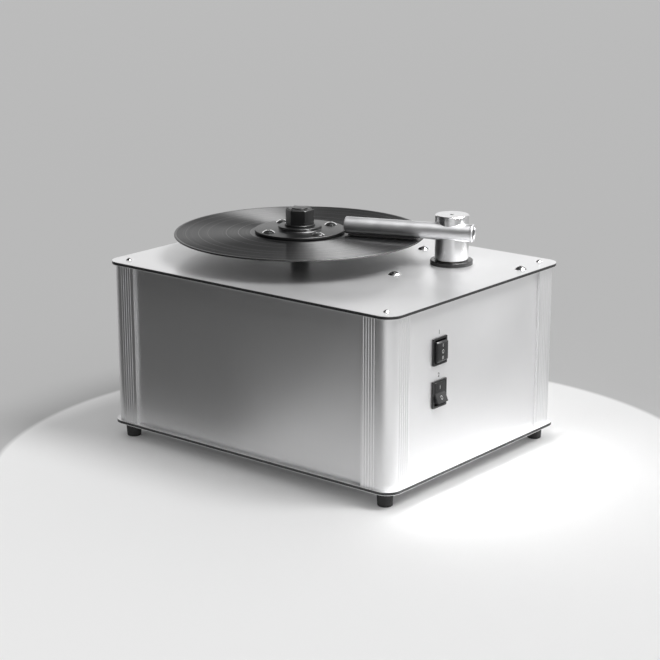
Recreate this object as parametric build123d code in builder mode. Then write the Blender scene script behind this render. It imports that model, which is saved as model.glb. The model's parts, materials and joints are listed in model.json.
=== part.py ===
from build123d import *
from math import asin, atan2, cos, degrees, hypot, pi, radians, sin, sqrt, tan
import os

# Record cleaning machine.  Millimetres, +Z up, the switches face -Y.
# The origin is the middle of the footprint, on the surface that the feet stand on.

os.makedirs("parts", exist_ok=True)

# ---------------------------------------------------------------- clearances
fixed_fit = 0.02        # between pieces that are pushed or screwed together
running_fit = 0.04      # between a shaft and what it turns or slides in
thread_fit = 0.05       # between a screw's shank and its threaded bore
screw_clearance = 0.2   # round a screw's shank in the plate it passes through

# ------------------------------------------------------------------- cabinet
plate_width = 334.0     # top and bottom plates, side to side
plate_depth = 427.0     # front to back
plate_corner = 18.0
plate_core = 3.0        # black core of the composite plate
plate_skin = 0.5        # aluminium skin on each of its faces
side_overhang = 2.2     # the plates stand this far proud of the body
front_overhang = 4.7
foot_height = 18.0
cabinet_height = 193.0  # length of the corner profiles and the panels

profile_leg = 37.9
profile_corner = 17.0
profile_wall = 2.6
port_inset = 16.0       # screw port, from both outer faces of a profile
port_radius = 4.6
port_web = 3.0
flute_count = 5
flute_pitch = 3.65
flute_first = 4.3       # from the end of the leg to the middle of the first flute
flute_radius = 1.25
flute_depth = 0.6

panel_thickness = 2.0
panel_recess = 3.0      # face of a panel behind the face of the profiles
panel_play = 0.05       # each side of a panel in its slot
panel_end_play = 0.3
slot_depth = 8.0
slot_floor = 2.0
slot_lip = 1.6

# ------------------------------------------------------------ feet, fasteners
foot_top_radius = 9.7
foot_base_radius = 8.5
foot_edge = 1.2
foot_screw_recess = 8.0
foot_recess_radius = 5.4

small_shank = 2.0       # M4
small_head = 3.8
small_head_height = 2.3
small_key = 2.5
small_length = 20.0
large_shank = 3.0       # M6
large_head = 7.3
large_head_height = 3.6
large_key = 4.0
large_length = 18.0
key_depth = 1.4
head_rim = 0.5

# --------------------------------------------------- record, spindle and clamp
record_x = 0.0
record_y = 51.5
record_height = 28.8    # top of the record above the top plate
record_radius = 150.8
record_hole = 3.62
record_thickness = 1.7  # under the grooves
record_bead = 2.1       # at the rim
record_bead_width = 3.0
record_label_thickness = 2.4
record_label_radius = 50.0
record_deadwax_radius = 60.0

hub_radius = 11.25
hub_flange_radius = 50.0
hub_flange = 5.0
hub_gap = 1.0           # under the turning hub
mat_thickness = 1.5
mat_inner_radius = 30.0
spindle_radius = 6.0
stud_radius = 3.5
stud_top = 26.0         # above the record

bearing_radius = 14.0
bearing_flange_radius = 21.0
bearing_flange = 4.0
bearing_length = 30.0   # below the top plate

seal_thickness = 0.6
seal_inner_radius = 38.0
seal_width = 10.0
clamp_radius = 54.2
clamp_thickness = 3.0
clamp_boss_radius = 26.0
clamp_boss_height = 4.2
clamp_edge = 0.6
clamp_screw_circle = 43.0
clamp_screw_count = 4
clamp_screw_angle = 160.0
clamp_screw_head = 7.6
clamp_screw_height = 3.2
clamp_screw_shank = 2.5
knob_flange_radius = 18.3
knob_flange = 2.2
knob_flats = 30.0
knob_height = 18.4
knob_vertex_angle = 31.3
knob_chamfer_radius = 14.6
knob_chamfer = 1.6
knob_cap_radius = 9.4
knob_cap = 1.0

# ----------------------------------------------------------------- drive train
gear_module = 1.5
gear_teeth = 48
pinion_teeth = 12
gear_width = 9.0
pressure_angle = 20.0
addendum = 0.7          # of a module, on both wheels
dedendum = 1.15
backlash = 0.16
gear_below_plate = 50.0 # underside of the top plate to the top of the output gear
gear_side_gap = 4.0     # between the gear and the bracket
bracket_thickness = 4.0
bracket_radius = 60.0
column_circle = 50.0
column_radius = 5.0
column_angles = (-35.0, 55.0, 145.0)
motor_angle = 100.0
motor_radius = 30.0
motor_length = cabinet_height * 0.32
motor_shaft_radius = 3.0
motor_shaft_depth = 12.0

# ------------------------------------------------------------- suction arm
post_x = 77.1
post_y = -116.9
post_radius = 20.0
post_lift = 6.2         # bottom of the post above the top plate
post_height = 59.0      # top of the post above the top plate
post_edge = 0.8
arm_offset = 13.0       # axis of the tube beside the axis of the post
tube_radius = 10.0
tube_bore = tube_radius - 1.5
tube_above_record = tube_radius + 2.0
tube_tip = 59.5         # distances along the tube are from the record's centre
tube_rear = 214.4
tip_cap = 1.6
rim_length = 3.0
rim_radius = tube_radius + 0.6
rim_bore = tube_radius - 3.0
slot_width = 3.0
slot_start = 62.0
slot_end = 146.0
felt_gap = 0.3          # above the record
felt_width = 3.0
felt_flat = tube_radius - 0.6  # flat on the underside of the tube, from its axis
air_port = 5.0
arm_shaft_radius = 12.0
arm_shaft_bore = 7.0
arm_shaft_grip = 20.0
arm_shaft_end = 40.0    # below the underside of the top plate
arm_travel = 6.0
ring_radius = 25.3
ring_height = 5.2
bush_radius = 17.0
bush_flange_radius = 24.0
bush_flange = 4.0
bush_guide = 25.0       # guiding length below the top plate
chamber_radius = 16.0
chamber_wall = 3.0
chamber_length = 50.0
chamber_floor = 3.0
chamber_hole = 9.0
seat_radius = 15.4
seat_thickness = 3.0
seat_gap = 0.1
spring_radius = 13.2
spring_wire = 0.8
spring_turns = 5
post_screw_radius = 2.6
post_screw_height = 0.6
post_screw_length = 8.0

# ------------------------------------------------------- waste tank and drain
tank_x = 72.9
tank_y = -117.8
tank_radius = 72.0
tank_wall = 3.0
tank_depth = cabinet_height * 0.49
tank_ear = 6.6
tank_ear_depth = 14.0
tank_screw_places = ((-9.4, -97.9), (117.9, -46.0), (104.3, -196.5))
nozzle_radius = 13.0
nozzle_bore = 11.0
nozzle_length = 20.0
nozzle_below_plate = 34.0
drain_x = 115.0
drain_z = 45.0
drain_barb_radius = 4.0
drain_barb_bore = 2.8
drain_barb_length = 14.0
hose_wall = 2.0
hose_bend = 34.0
hose_gap = 1.5
spout_radius = 7.0
spout_proud = 3.6
spout_nut_radius = 10.0
spout_nut = 4.0
plug_radius = 4.0
plug_length = 8.0
plug_head_radius = 7.4
plug_head = 3.4

# ---------------------------------------------------------------- vacuum unit
vacuum_x = -72.0
vacuum_y = -100.0
vacuum_can_radius = 46.0
vacuum_can_height = cabinet_height * 0.3
housing_radius = 60.0
housing_height = cabinet_height * 0.27
housing_wall = 2.5
impeller_radius = 50.0
impeller_height = 24.0
impeller_disc = 2.0
impeller_hub = 9.0
impeller_blades = 9
impeller_gap = 7.0
fan_shaft_radius = 4.0
elbow_wall = 3.0
elbow_bend_largest = 30.0
elbow_overlap = 14.0
exhaust_slots = 6
exhaust_slot_height = 16.0

# ------------------------------------------------------------ rocker switches
switch_x = -69.6
motor_switch_z = 160.9
vacuum_switch_z = 111.9
bezel_width = 25.4
bezel_height = 31.6
bezel_thickness = 2.0
bezel_rim = 1.6
switch_body_gap = 0.1
switch_body_depth = 20.0
switch_cavity = 14.0
rocker_play = 0.4
rocker_pivot_depth = 5.0
rocker_pin = 1.4
rocker_pin_length = 1.2
rocker_back = 2.0
rocker_tilt = 12.0
rocker_proud = 3.6
rocker_edge = 1.6
blade_width = 6.3
blade_thickness = 0.8
blade_length = 8.0

# ----------------------------------------------------- mains inlet, board, vent
inlet_x = 40.0
inlet_z = 62.0
inlet_flange_width = 36.0
inlet_flange_height = 42.0
inlet_flange = 2.5
inlet_body_width = 28.0
inlet_body_height = 33.0
inlet_body_depth = 24.0
socket_width = 24.4
socket_height = 16.6
socket_depth = 17.0
socket_below = 6.0      # middle of the socket below the middle of the flange
inlet_pin_spacing = 7.0
inlet_pin_width = 2.0
inlet_pin_height = 4.0
inlet_pin_length = 14.0
drawer_width = 20.0
drawer_height = 7.0
drawer_depth = 19.0
drawer_above = 11.0
drawer_play = 0.15
drawer_lip = 1.2
board_x = 45.0
board_y = 118.0
board_width = 86.0
board_depth = 92.0
board_thickness = 1.6
board_height = 12.0
spacer_radius = 3.5
spacer_inset = 5.0
vent_columns = 9
vent_rows = 3
vent_slot_width = 3.2
vent_slot_height = 22.0
vent_pitch_x = 8.0
vent_pitch_z = 30.0
vent_x = -80.0
vent_z = 100.0
lead_radius = 2.0
lead_bend = 6.0
lead_gap = 0.15         # between the end of a lead and what it is joined to
lead_reach = 13.5       # behind the blades of the switches
lead_lane_x = -146.0

# ------------------------------------------------------------- derived levels
plate_total = plate_core + 2 * plate_skin
floor_z = foot_height + plate_total
ceiling_z = floor_z + cabinet_height
deck_z = ceiling_z + plate_total
body_width = plate_width - 2 * side_overhang
body_depth = plate_depth - 2 * front_overhang
front_face = body_depth / 2 - panel_recess - panel_play
side_face = body_width / 2 - panel_recess - panel_play
port_x = body_width / 2 - port_inset
port_y = body_depth / 2 - port_inset
port_places = [(sx * port_x, sy * port_y) for sx in (-1, 1) for sy in (-1, 1)]
record_z = deck_z + record_height
mat_z = record_z - record_label_thickness
hub_top_z = mat_z - mat_thickness
clamp_z = record_z + seal_thickness
knob_z = clamp_z + clamp_thickness + clamp_boss_height
gear_top_z = ceiling_z - gear_below_plate
gear_z = gear_top_z - gear_width
bracket_z = gear_z - gear_side_gap - bracket_thickness
tube_z = record_z + tube_above_record
post_z = deck_z + post_lift
post_top_z = deck_z + post_height
shaft_end_z = ceiling_z - arm_shaft_end
chamber_z = ceiling_z - bush_guide - chamber_length
tank_z = ceiling_z - tank_depth
bezel_y = front_face + bezel_thickness
pivot_y = bezel_y - rocker_pivot_depth

# The tube lies on a line through the record's centre, beside the post.
reach_x = post_x - record_x
reach_y = post_y - record_y
post_distance = hypot(reach_x, reach_y)
arm_angle = atan2(reach_y, reach_x) - asin(arm_offset / post_distance)
along_x = cos(arm_angle)
along_y = sin(arm_angle)
arm_section = Plane(
    origin=(record_x, record_y, tube_z),
    x_dir=(-along_y, along_x, 0),
    z_dir=(along_x, along_y, 0),
)


def upright(x, y, z=0.0):
    """Vertical plane through a point: its x is a radius, its y is the height."""
    return Plane(origin=(x, y, z), x_dir=(1, 0, 0), z_dir=(0, -1, 0))


def level(x, y, z):
    """Horizontal plane with its origin over a point."""
    return Plane(origin=(x, y, z), x_dir=(1, 0, 0), z_dir=(0, 0, 1))


def turning_axis(x, y):
    """Vertical axis through a point."""
    return Axis((x, y, 0), (0, 0, 1))


def turned(x, y, z, outline):
    """Turn an outline of (radius, height) corners about the vertical through x, y."""
    with BuildSketch(upright(x, y, z)) as section:
        with BuildLine():
            Polyline(*outline, close=True)
        make_face()
    revolve(section.sketch, axis=turning_axis(x, y))


def bored(x, y, z, radius, height):
    """Cut a round hole upwards from z."""
    with BuildSketch(level(x, y, z)) as section:
        Circle(radius)
    extrude(section.sketch, amount=height, mode=Mode.SUBTRACT)


def dome_screw(x, y, seat, head, height, shank, length, key):
    """Dome headed screw with a hexagon socket, its head resting on the seat."""
    with BuildSketch(upright(x, y, seat)) as section:
        with BuildLine():
            Polyline((0, height), (0, -length), (shank, -length), (shank, 0), (head, 0), (head, head_rim))
            TangentArc((0, height), (head, head_rim), tangent=(1, 0))
        make_face()
    revolve(section.sketch, axis=turning_axis(x, y))
    with BuildSketch(level(x, y, seat + height)) as socket:
        RegularPolygon(key / 2, 6, major_radius=False)
    extrude(socket.sketch, amount=-key_depth, mode=Mode.SUBTRACT)


def plate_outline():
    """Outline shared by every layer of the top and bottom plates."""
    RectangleRounded(plate_width, plate_depth, plate_corner)


# ================================================================ top plate
def top_plate_holes(z, height):
    """Holes through one layer of the top plate."""
    bored(record_x, record_y, z, bearing_radius + fixed_fit, height)
    bored(post_x, post_y, z, bush_radius + fixed_fit, height)
    for x, y in port_places:
        bored(x, y, z, small_shank + screw_clearance, height)
    for x, y in tank_screw_places:
        bored(x, y, z, large_shank + screw_clearance, height)
    for x, y in column_places:
        bored(x, y, z, small_shank + screw_clearance, height)


column_places = [
    (record_x + column_circle * cos(radians(a)), record_y + column_circle * sin(radians(a)))
    for a in column_angles
]

with BuildPart() as top_plate_core:
    with BuildSketch(Plane.XY.offset(ceiling_z + plate_skin)):
        plate_outline()
    extrude(amount=plate_core)
    top_plate_holes(ceiling_z + plate_skin, plate_core)
top_plate_core.part.label = "top_plate_core"
export_step(top_plate_core.part, "parts/top_plate_core.step")

with BuildPart() as top_plate_skins:
    for skin_z in (ceiling_z, deck_z - plate_skin):
        with BuildSketch(Plane.XY.offset(skin_z)):
            plate_outline()
        extrude(amount=plate_skin)
        top_plate_holes(skin_z, plate_skin)
top_plate_skins.part.label = "top_plate_skins"
export_step(top_plate_skins.part, "parts/top_plate_skins.step")


# ============================================================= bottom plate
def bottom_plate_holes(z, height):
    """Holes through one layer of the bottom plate."""
    for x, y in port_places:
        bored(x, y, z, small_shank + screw_clearance, height)


with BuildPart() as bottom_plate_core:
    with BuildSketch(Plane.XY.offset(foot_height + plate_skin)):
        plate_outline()
    extrude(amount=plate_core)
    bottom_plate_holes(foot_height + plate_skin, plate_core)
bottom_plate_core.part.label = "bottom_plate_core"
export_step(bottom_plate_core.part, "parts/bottom_plate_core.step")

with BuildPart() as bottom_plate_skins:
    for skin_z in (foot_height, floor_z - plate_skin):
        with BuildSketch(Plane.XY.offset(skin_z)):
            plate_outline()
        extrude(amount=plate_skin)
        bottom_plate_holes(skin_z, plate_skin)
bottom_plate_skins.part.label = "bottom_plate_skins"
export_step(bottom_plate_skins.part, "parts/bottom_plate_skins.step")

# ========================================================= corner profiles
slot_gap = panel_thickness + 2 * panel_play
channel_depth = panel_recess + slot_gap + slot_lip
channel_length = slot_depth + slot_floor
inner_corner = profile_corner - profile_wall
arc_middle = profile_corner * (1 - 1 / sqrt(2))
inner_arc_middle = profile_corner - inner_corner / sqrt(2)
web_length = (port_inset - inner_arc_middle) * sqrt(2)


def profile_section():
    """Corner profile with its corner at the plane's origin and a leg along each axis."""
    leg = profile_leg
    corner = profile_corner
    wall = profile_wall
    with BuildLine() as outline:
        Line((leg, 0), (corner, 0))
        ThreePointArc((corner, 0), (arc_middle, arc_middle), (0, corner))
        Line((0, corner), (0, leg))
        Line((0, leg), (wall, leg))
        Line((wall, leg), (wall, corner))
        ThreePointArc((wall, corner), (inner_arc_middle, inner_arc_middle), (corner, wall))
        Line((corner, wall), (leg, wall))
        Line((leg, wall), (leg, 0))
    make_face(outline.edges())
    with Locations((leg - channel_length / 2, channel_depth / 2)):
        Rectangle(channel_length, channel_depth)
    with Locations((channel_depth / 2, leg - channel_length / 2)):
        Rectangle(channel_depth, channel_length)
    with Locations((leg - slot_depth / 2, panel_recess + slot_gap / 2)):
        Rectangle(slot_depth, slot_gap, mode=Mode.SUBTRACT)
    with Locations((panel_recess + slot_gap / 2, leg - slot_depth / 2)):
        Rectangle(slot_gap, slot_depth, mode=Mode.SUBTRACT)
    web_middle = inner_arc_middle + web_length / 2 / sqrt(2)
    with Locations((web_middle, web_middle)):
        Rectangle(web_length + profile_wall, port_web, rotation=45)
    with Locations((port_inset, port_inset)):
        Circle(port_radius)
        Circle(small_shank + thread_fit, mode=Mode.SUBTRACT)
    for i in range(flute_count):
        along = leg - flute_first - i * flute_pitch
        beside = flute_depth - flute_radius
        with Locations((along, beside), (beside, along)):
            Circle(flute_radius, mode=Mode.SUBTRACT)


corner_places = {
    "corner_profile_front_left": (-body_width / 2, -body_depth / 2, 0),
    "corner_profile_front_right": (body_width / 2, -body_depth / 2, 90),
    "corner_profile_rear_right": (body_width / 2, body_depth / 2, 180),
    "corner_profile_rear_left": (-body_width / 2, body_depth / 2, 270),
}
for profile_name, (corner_x, corner_y, turn) in corner_places.items():
    corner_plane = Plane(
        origin=(corner_x, corner_y, floor_z),
        x_dir=(cos(radians(turn)), sin(radians(turn)), 0),
        z_dir=(0, 0, 1),
    )
    with BuildPart() as corner_profile:
        with BuildSketch(corner_plane):
            profile_section()
        extrude(amount=cabinet_height)
    corner_profile.part.label = profile_name
    export_step(corner_profile.part, f"parts/{profile_name}.step")

# =================================================================== panels
slot_end_inset = profile_leg - slot_depth + panel_end_play
front_width = body_width - 2 * slot_end_inset
side_width = body_depth - 2 * slot_end_inset
panel_middle_z = floor_z + cabinet_height / 2
cutout_width = bezel_width - 2 * bezel_rim
cutout_height = bezel_height - 2 * bezel_rim

with BuildPart() as front_panel:
    with BuildSketch(Plane.XZ.offset(front_face)):
        with Locations((0, panel_middle_z)):
            Rectangle(front_width, cabinet_height)
        with Locations((switch_x, motor_switch_z), (switch_x, vacuum_switch_z)):
            Rectangle(cutout_width, cutout_height, mode=Mode.SUBTRACT)
    extrude(amount=-panel_thickness)
front_panel.part.label = "front_panel"
export_step(front_panel.part, "parts/front_panel.step")

with BuildPart() as rear_panel:
    with BuildSketch(Plane.XZ.offset(-front_face)):
        with Locations((0, panel_middle_z)):
            Rectangle(front_width, cabinet_height)
        with Locations((inlet_x, inlet_z)):
            Rectangle(inlet_body_width, inlet_body_height, mode=Mode.SUBTRACT)
        with Locations((drain_x, drain_z)):
            Circle(spout_radius, mode=Mode.SUBTRACT)
        with Locations((vent_x, vent_z)):
            with GridLocations(vent_pitch_x, vent_pitch_z, vent_columns, vent_rows):
                SlotOverall(vent_slot_height, vent_slot_width, rotation=90, mode=Mode.SUBTRACT)
    extrude(amount=panel_thickness)
rear_panel.part.label = "rear_panel"
export_step(rear_panel.part, "parts/rear_panel.step")

with BuildPart() as left_panel:
    with BuildSketch(Plane.YZ.offset(-side_face)):
        with Locations((0, panel_middle_z)):
            Rectangle(side_width, cabinet_height)
    extrude(amount=panel_thickness)
left_panel.part.label = "left_panel"
export_step(left_panel.part, "parts/left_panel.step")

with BuildPart() as right_panel:
    with BuildSketch(Plane.YZ.offset(side_face)):
        with Locations((0, panel_middle_z)):
            Rectangle(side_width, cabinet_height)
    extrude(amount=-panel_thickness)
right_panel.part.label = "right_panel"
export_step(right_panel.part, "parts/right_panel.step")

# ===================================================================== feet
foot_outline = (
    (small_shank + screw_clearance, foot_screw_recess),
    (foot_recess_radius, foot_screw_recess),
    (foot_recess_radius, 0),
    (foot_base_radius - foot_edge, 0),
    (foot_base_radius, foot_edge),
    (foot_top_radius, foot_height),
    (small_shank + screw_clearance, foot_height),
)
foot_places = {
    "foot_front_left": (-port_x, -port_y),
    "foot_front_right": (port_x, -port_y),
    "foot_rear_left": (-port_x, port_y),
    "foot_rear_right": (port_x, port_y),
}
for foot_name, (foot_x, foot_y) in foot_places.items():
    with BuildPart() as foot:
        turned(foot_x, foot_y, 0, foot_outline)
    foot.part.label = foot_name
    export_step(foot.part, f"parts/{foot_name}.step")

# ================================================================ fasteners
with BuildPart() as foot_screws:
    for x, y in port_places:
        head_z = foot_screw_recess
        turned(x, y, head_z, (
            (0, -small_head_height),
            (small_head, -small_head_height),
            (small_head, 0),
            (small_shank, 0),
            (small_shank, foot_height - foot_screw_recess + plate_total + small_length / 2),
            (0, foot_height - foot_screw_recess + plate_total + small_length / 2),
        ))
foot_screws.part.label = "foot_screws"
export_step(foot_screws.part, "parts/foot_screws.step")

with BuildPart() as corner_screws:
    for x, y in port_places:
        dome_screw(x, y, deck_z, small_head, small_head_height, small_shank, small_length, small_key)
corner_screws.part.label = "corner_screws"
export_step(corner_screws.part, "parts/corner_screws.step")

with BuildPart() as tank_screws:
    for x, y in tank_screw_places:
        dome_screw(x, y, deck_z, large_head, large_head_height, large_shank, large_length, large_key)
tank_screws.part.label = "tank_screws"
export_step(tank_screws.part, "parts/tank_screws.step")

with BuildPart() as bracket_screws:
    for x, y in column_places:
        dome_screw(x, y, deck_z, small_head, small_head_height, small_shank, small_length, small_key)
bracket_screws.part.label = "bracket_screws"
export_step(bracket_screws.part, "parts/bracket_screws.step")

# ======================================================= spindle and record
with BuildPart() as spindle_bearing:
    turned(record_x, record_y, ceiling_z, (
        (spindle_radius + running_fit, -bearing_length),
        (bearing_radius, -bearing_length),
        (bearing_radius, -bearing_flange),
        (bearing_flange_radius, -bearing_flange),
        (bearing_flange_radius, 0),
        (bearing_radius, 0),
        (bearing_radius, plate_total),
        (spindle_radius + running_fit, plate_total),
    ))
spindle_bearing.part.label = "spindle_bearing"
export_step(spindle_bearing.part, "parts/spindle_bearing.step")

with BuildPart() as spindle_shaft:
    turned(record_x, record_y, 0, (
        (0, bracket_z - 1),
        (spindle_radius, bracket_z - 1),
        (spindle_radius, hub_top_z),
        (stud_radius, hub_top_z),
        (stud_radius, record_z + stud_top - 1),
        (stud_radius - 1, record_z + stud_top),
        (0, record_z + stud_top),
    ))
spindle_shaft.part.label = "spindle_shaft"
export_step(spindle_shaft.part, "parts/spindle_shaft.step")

with BuildPart() as hub:
    turned(record_x, record_y, 0, (
        (spindle_radius + fixed_fit, deck_z + hub_gap),
        (hub_radius, deck_z + hub_gap),
        (hub_radius, hub_top_z - hub_flange),
        (hub_flange_radius, hub_top_z - hub_flange),
        (hub_flange_radius, hub_top_z),
        (spindle_radius + fixed_fit, hub_top_z),
    ))
hub.part.label = "hub"
export_step(hub.part, "parts/hub.step")

with BuildPart() as hub_mat:
    with BuildSketch(level(record_x, record_y, hub_top_z)):
        Circle(hub_flange_radius)
        Circle(mat_inner_radius, mode=Mode.SUBTRACT)
    extrude(amount=mat_thickness)
hub_mat.part.label = "hub_mat"
export_step(hub_mat.part, "parts/hub_mat.step")

# The record lies on its label; its grooves are a little lower than label and rim.
groove_top = -(record_bead - record_thickness) / 2
groove_bottom = groove_top - record_thickness
bead_start = record_radius - record_bead_width
with BuildPart() as record:
    turned(record_x, record_y, record_z, (
        (record_hole, 0),
        (record_label_radius, 0),
        (record_deadwax_radius, groove_top),
        (bead_start, groove_top),
        (bead_start + 1, 0),
        (record_radius - 0.8, -0.1),
        (record_radius, -record_bead / 2),
        (record_radius - 0.8, -record_bead + 0.1),
        (bead_start + 1, -record_bead),
        (bead_start, groove_bottom),
        (record_deadwax_radius, groove_bottom),
        (record_label_radius, -record_label_thickness),
        (record_hole, -record_label_thickness),
    ))
record.part.label = "record"
export_step(record.part, "parts/record.step")

# ==================================================================== clamp
clamp_bore = stud_radius + running_fit
with BuildPart() as clamp_seal:
    with BuildSketch(level(record_x, record_y, record_z)):
        Circle(seal_inner_radius + seal_width)
        Circle(seal_inner_radius, mode=Mode.SUBTRACT)
    extrude(amount=seal_thickness)
clamp_seal.part.label = "clamp_seal"
export_step(clamp_seal.part, "parts/clamp_seal.step")

clamp_screw_places = [
    (
        record_x + clamp_screw_circle * cos(radians(clamp_screw_angle + i * 360 / clamp_screw_count)),
        record_y + clamp_screw_circle * sin(radians(clamp_screw_angle + i * 360 / clamp_screw_count)),
    )
    for i in range(clamp_screw_count)
]
with BuildPart() as clamp_disc:
    turned(record_x, record_y, clamp_z, (
        (clamp_bore, 0),
        (clamp_radius, 0),
        (clamp_radius, clamp_thickness - clamp_edge),
        (clamp_radius - clamp_edge, clamp_thickness),
        (clamp_boss_radius, clamp_thickness),
        (clamp_boss_radius, clamp_thickness + clamp_boss_height - clamp_edge),
        (clamp_boss_radius - clamp_edge, clamp_thickness + clamp_boss_height),
        (clamp_bore, clamp_thickness + clamp_boss_height),
    ))
    for x, y in clamp_screw_places:
        bored(x, y, clamp_z, clamp_screw_shank + fixed_fit, clamp_thickness)
clamp_disc.part.label = "clamp_disc"
export_step(clamp_disc.part, "parts/clamp_disc.step")

with BuildPart() as clamp_screws:
    for x, y in clamp_screw_places:
        dome_screw(
            x, y, clamp_z + clamp_thickness,
            clamp_screw_head, clamp_screw_height, clamp_screw_shank, clamp_thickness, large_key,
        )
clamp_screws.part.label = "clamp_screws"
export_step(clamp_screws.part, "parts/clamp_screws.step")

knob_hex_z = knob_z + knob_flange
knob_top_z = knob_hex_z + knob_height
knob_corner = knob_flats / 2 / cos(radians(30))
with BuildPart() as clamp_knob:
    with BuildSketch(level(record_x, record_y, knob_hex_z)):
        RegularPolygon(knob_flats / 2, 6, major_radius=False, rotation=knob_vertex_angle)
    extrude(amount=knob_height)
    with BuildSketch(upright(record_x, record_y, knob_top_z)):
        with BuildLine():
            Polyline(
                (knob_chamfer_radius, 0),
                (knob_corner + 1, 0),
                (knob_corner + 1, -knob_chamfer),
                close=True,
            )
        make_face()
    revolve(axis=turning_axis(record_x, record_y), mode=Mode.SUBTRACT)
    with BuildSketch(level(record_x, record_y, knob_z)):
        Circle(knob_flange_radius)
    extrude(amount=knob_flange)
    with BuildSketch(level(record_x, record_y, knob_top_z)):
        Circle(knob_cap_radius)
    extrude(amount=knob_cap)
    bored(record_x, record_y, knob_z, clamp_bore, stud_top + 1 - (knob_z - record_z))
clamp_knob.part.label = "clamp_knob"
export_step(clamp_knob.part, "parts/clamp_knob.step")

# ============================================================== drive train
gear_radius = gear_module * gear_teeth / 2
pinion_radius = gear_module * pinion_teeth / 2
gear_distance = gear_radius + pinion_radius
motor_x = record_x + gear_distance * cos(radians(motor_angle))
motor_y = record_y + gear_distance * sin(radians(motor_angle))


def acos_limited(ratio):
    """Arc cosine that takes a ratio of one or just over it."""
    return atan2(sqrt(max(0.0, 1 - ratio * ratio)), ratio)


def involute(angle):
    """Involute function of a pressure angle in radians."""
    return tan(angle) - angle


def gear_outline(teeth, first_tooth):
    """Outline of a spur wheel about the plane's origin; first_tooth is an angle in degrees."""
    pitch = gear_module * teeth / 2
    base = pitch * cos(radians(pressure_angle))
    tip = pitch + addendum * gear_module
    root = pitch - dedendum * gear_module
    start = max(base, root)
    half_tooth = pi / (2 * teeth) - backlash / (2 * pitch)
    flank_radii = (start, (start + tip) / 2, tip)
    flank_angles = [
        half_tooth + involute(radians(pressure_angle)) - involute(acos_limited(base / r))
        for r in flank_radii
    ]
    pitch_angle = 2 * pi / teeth

    def corner(radius, angle):
        return (radius * cos(angle), radius * sin(angle))

    with BuildLine() as outline:
        for i in range(teeth):
            middle = radians(first_tooth) + i * pitch_angle
            rising = [corner(r, middle - a) for r, a in zip(flank_radii, flank_angles)]
            falling = [corner(r, middle + a) for r, a in zip(flank_radii, flank_angles)]
            root_start = corner(root, middle - flank_angles[0])
            root_end = corner(root, middle + flank_angles[0])
            next_root = corner(root, middle + pitch_angle - flank_angles[0])
            if root < start:
                Line(root_start, rising[0])
                Line(falling[0], root_end)
            ThreePointArc(*rising)
            Line(rising[2], falling[2])
            ThreePointArc(*falling)
            Line(root_end, next_root)
    make_face(outline.edges())


with BuildPart() as output_gear:
    with BuildSketch(level(record_x, record_y, gear_z)):
        gear_outline(gear_teeth, motor_angle)
        Circle(spindle_radius + fixed_fit, mode=Mode.SUBTRACT)
    extrude(amount=gear_width)
output_gear.part.label = "output_gear"
export_step(output_gear.part, "parts/output_gear.step")

motor_top_z = bracket_z
with BuildPart() as motor_pinion:
    with BuildSketch(level(motor_x, motor_y, gear_z)):
        gear_outline(pinion_teeth, motor_angle + 180 + 180 / pinion_teeth)
    extrude(amount=gear_width)
    with BuildSketch(level(motor_x, motor_y, motor_top_z - motor_shaft_depth)):
        Circle(motor_shaft_radius)
    extrude(amount=gear_z + gear_width - motor_top_z + motor_shaft_depth)
motor_pinion.part.label = "motor_pinion"
export_step(motor_pinion.part, "parts/motor_pinion.step")

with BuildPart() as drive_bracket:
    with BuildSketch(level(record_x, record_y, bracket_z)):
        Circle(bracket_radius)
        with Locations((motor_x - record_x, motor_y - record_y)):
            Circle(motor_radius + 2)
        Circle(spindle_radius + running_fit, mode=Mode.SUBTRACT)
        with Locations((motor_x - record_x, motor_y - record_y)):
            Circle(motor_shaft_radius + 1, mode=Mode.SUBTRACT)
    extrude(amount=bracket_thickness)
    for x, y in column_places:
        with BuildSketch(level(x, y, bracket_z)):
            Circle(column_radius)
        extrude(amount=ceiling_z - bracket_z)
        bored(x, y, ceiling_z - small_length, small_shank + thread_fit, small_length)
drive_bracket.part.label = "drive_bracket"
export_step(drive_bracket.part, "parts/drive_bracket.step")

with BuildPart() as drive_motor:
    with BuildSketch(level(motor_x, motor_y, motor_top_z - motor_length)):
        Circle(motor_radius)
    extrude(amount=motor_length)
    chamfer(drive_motor.edges().group_by(Axis.Z)[0], 2)
    bored(motor_x, motor_y, motor_top_z - motor_shaft_depth, motor_shaft_radius + running_fit, motor_shaft_depth)
drive_motor.part.label = "drive_motor"
export_step(drive_motor.part, "parts/drive_motor.step")

# ============================================================== suction arm
with BuildPart() as arm_base_ring:
    with BuildSketch(level(post_x, post_y, deck_z)):
        Circle(ring_radius)
        Circle(bush_radius + fixed_fit, mode=Mode.SUBTRACT)
    extrude(amount=ring_height)
    chamfer(arm_base_ring.edges().group_by(Axis.Z)[-1].sort_by(SortBy.RADIUS)[-1], 0.6)
arm_base_ring.part.label = "arm_base_ring"
export_step(arm_base_ring.part, "parts/arm_base_ring.step")

guide_bore = arm_shaft_radius + running_fit
chamber_top_z = ceiling_z - bush_guide
with BuildPart() as arm_bush:
    turned(post_x, post_y, 0, (
        (guide_bore, deck_z + ring_height),
        (bush_radius, deck_z + ring_height),
        (bush_radius, ceiling_z),
        (bush_flange_radius, ceiling_z),
        (bush_flange_radius, ceiling_z - bush_flange),
        (chamber_radius + chamber_wall, ceiling_z - bush_flange),
        (chamber_radius + chamber_wall, chamber_z),
        (chamber_hole, chamber_z),
        (chamber_hole, chamber_z + chamber_floor),
        (chamber_radius, chamber_z + chamber_floor),
        (chamber_radius, chamber_top_z),
        (guide_bore, chamber_top_z),
    ))
arm_bush.part.label = "arm_bush"
export_step(arm_bush.part, "parts/arm_bush.step")

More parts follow.
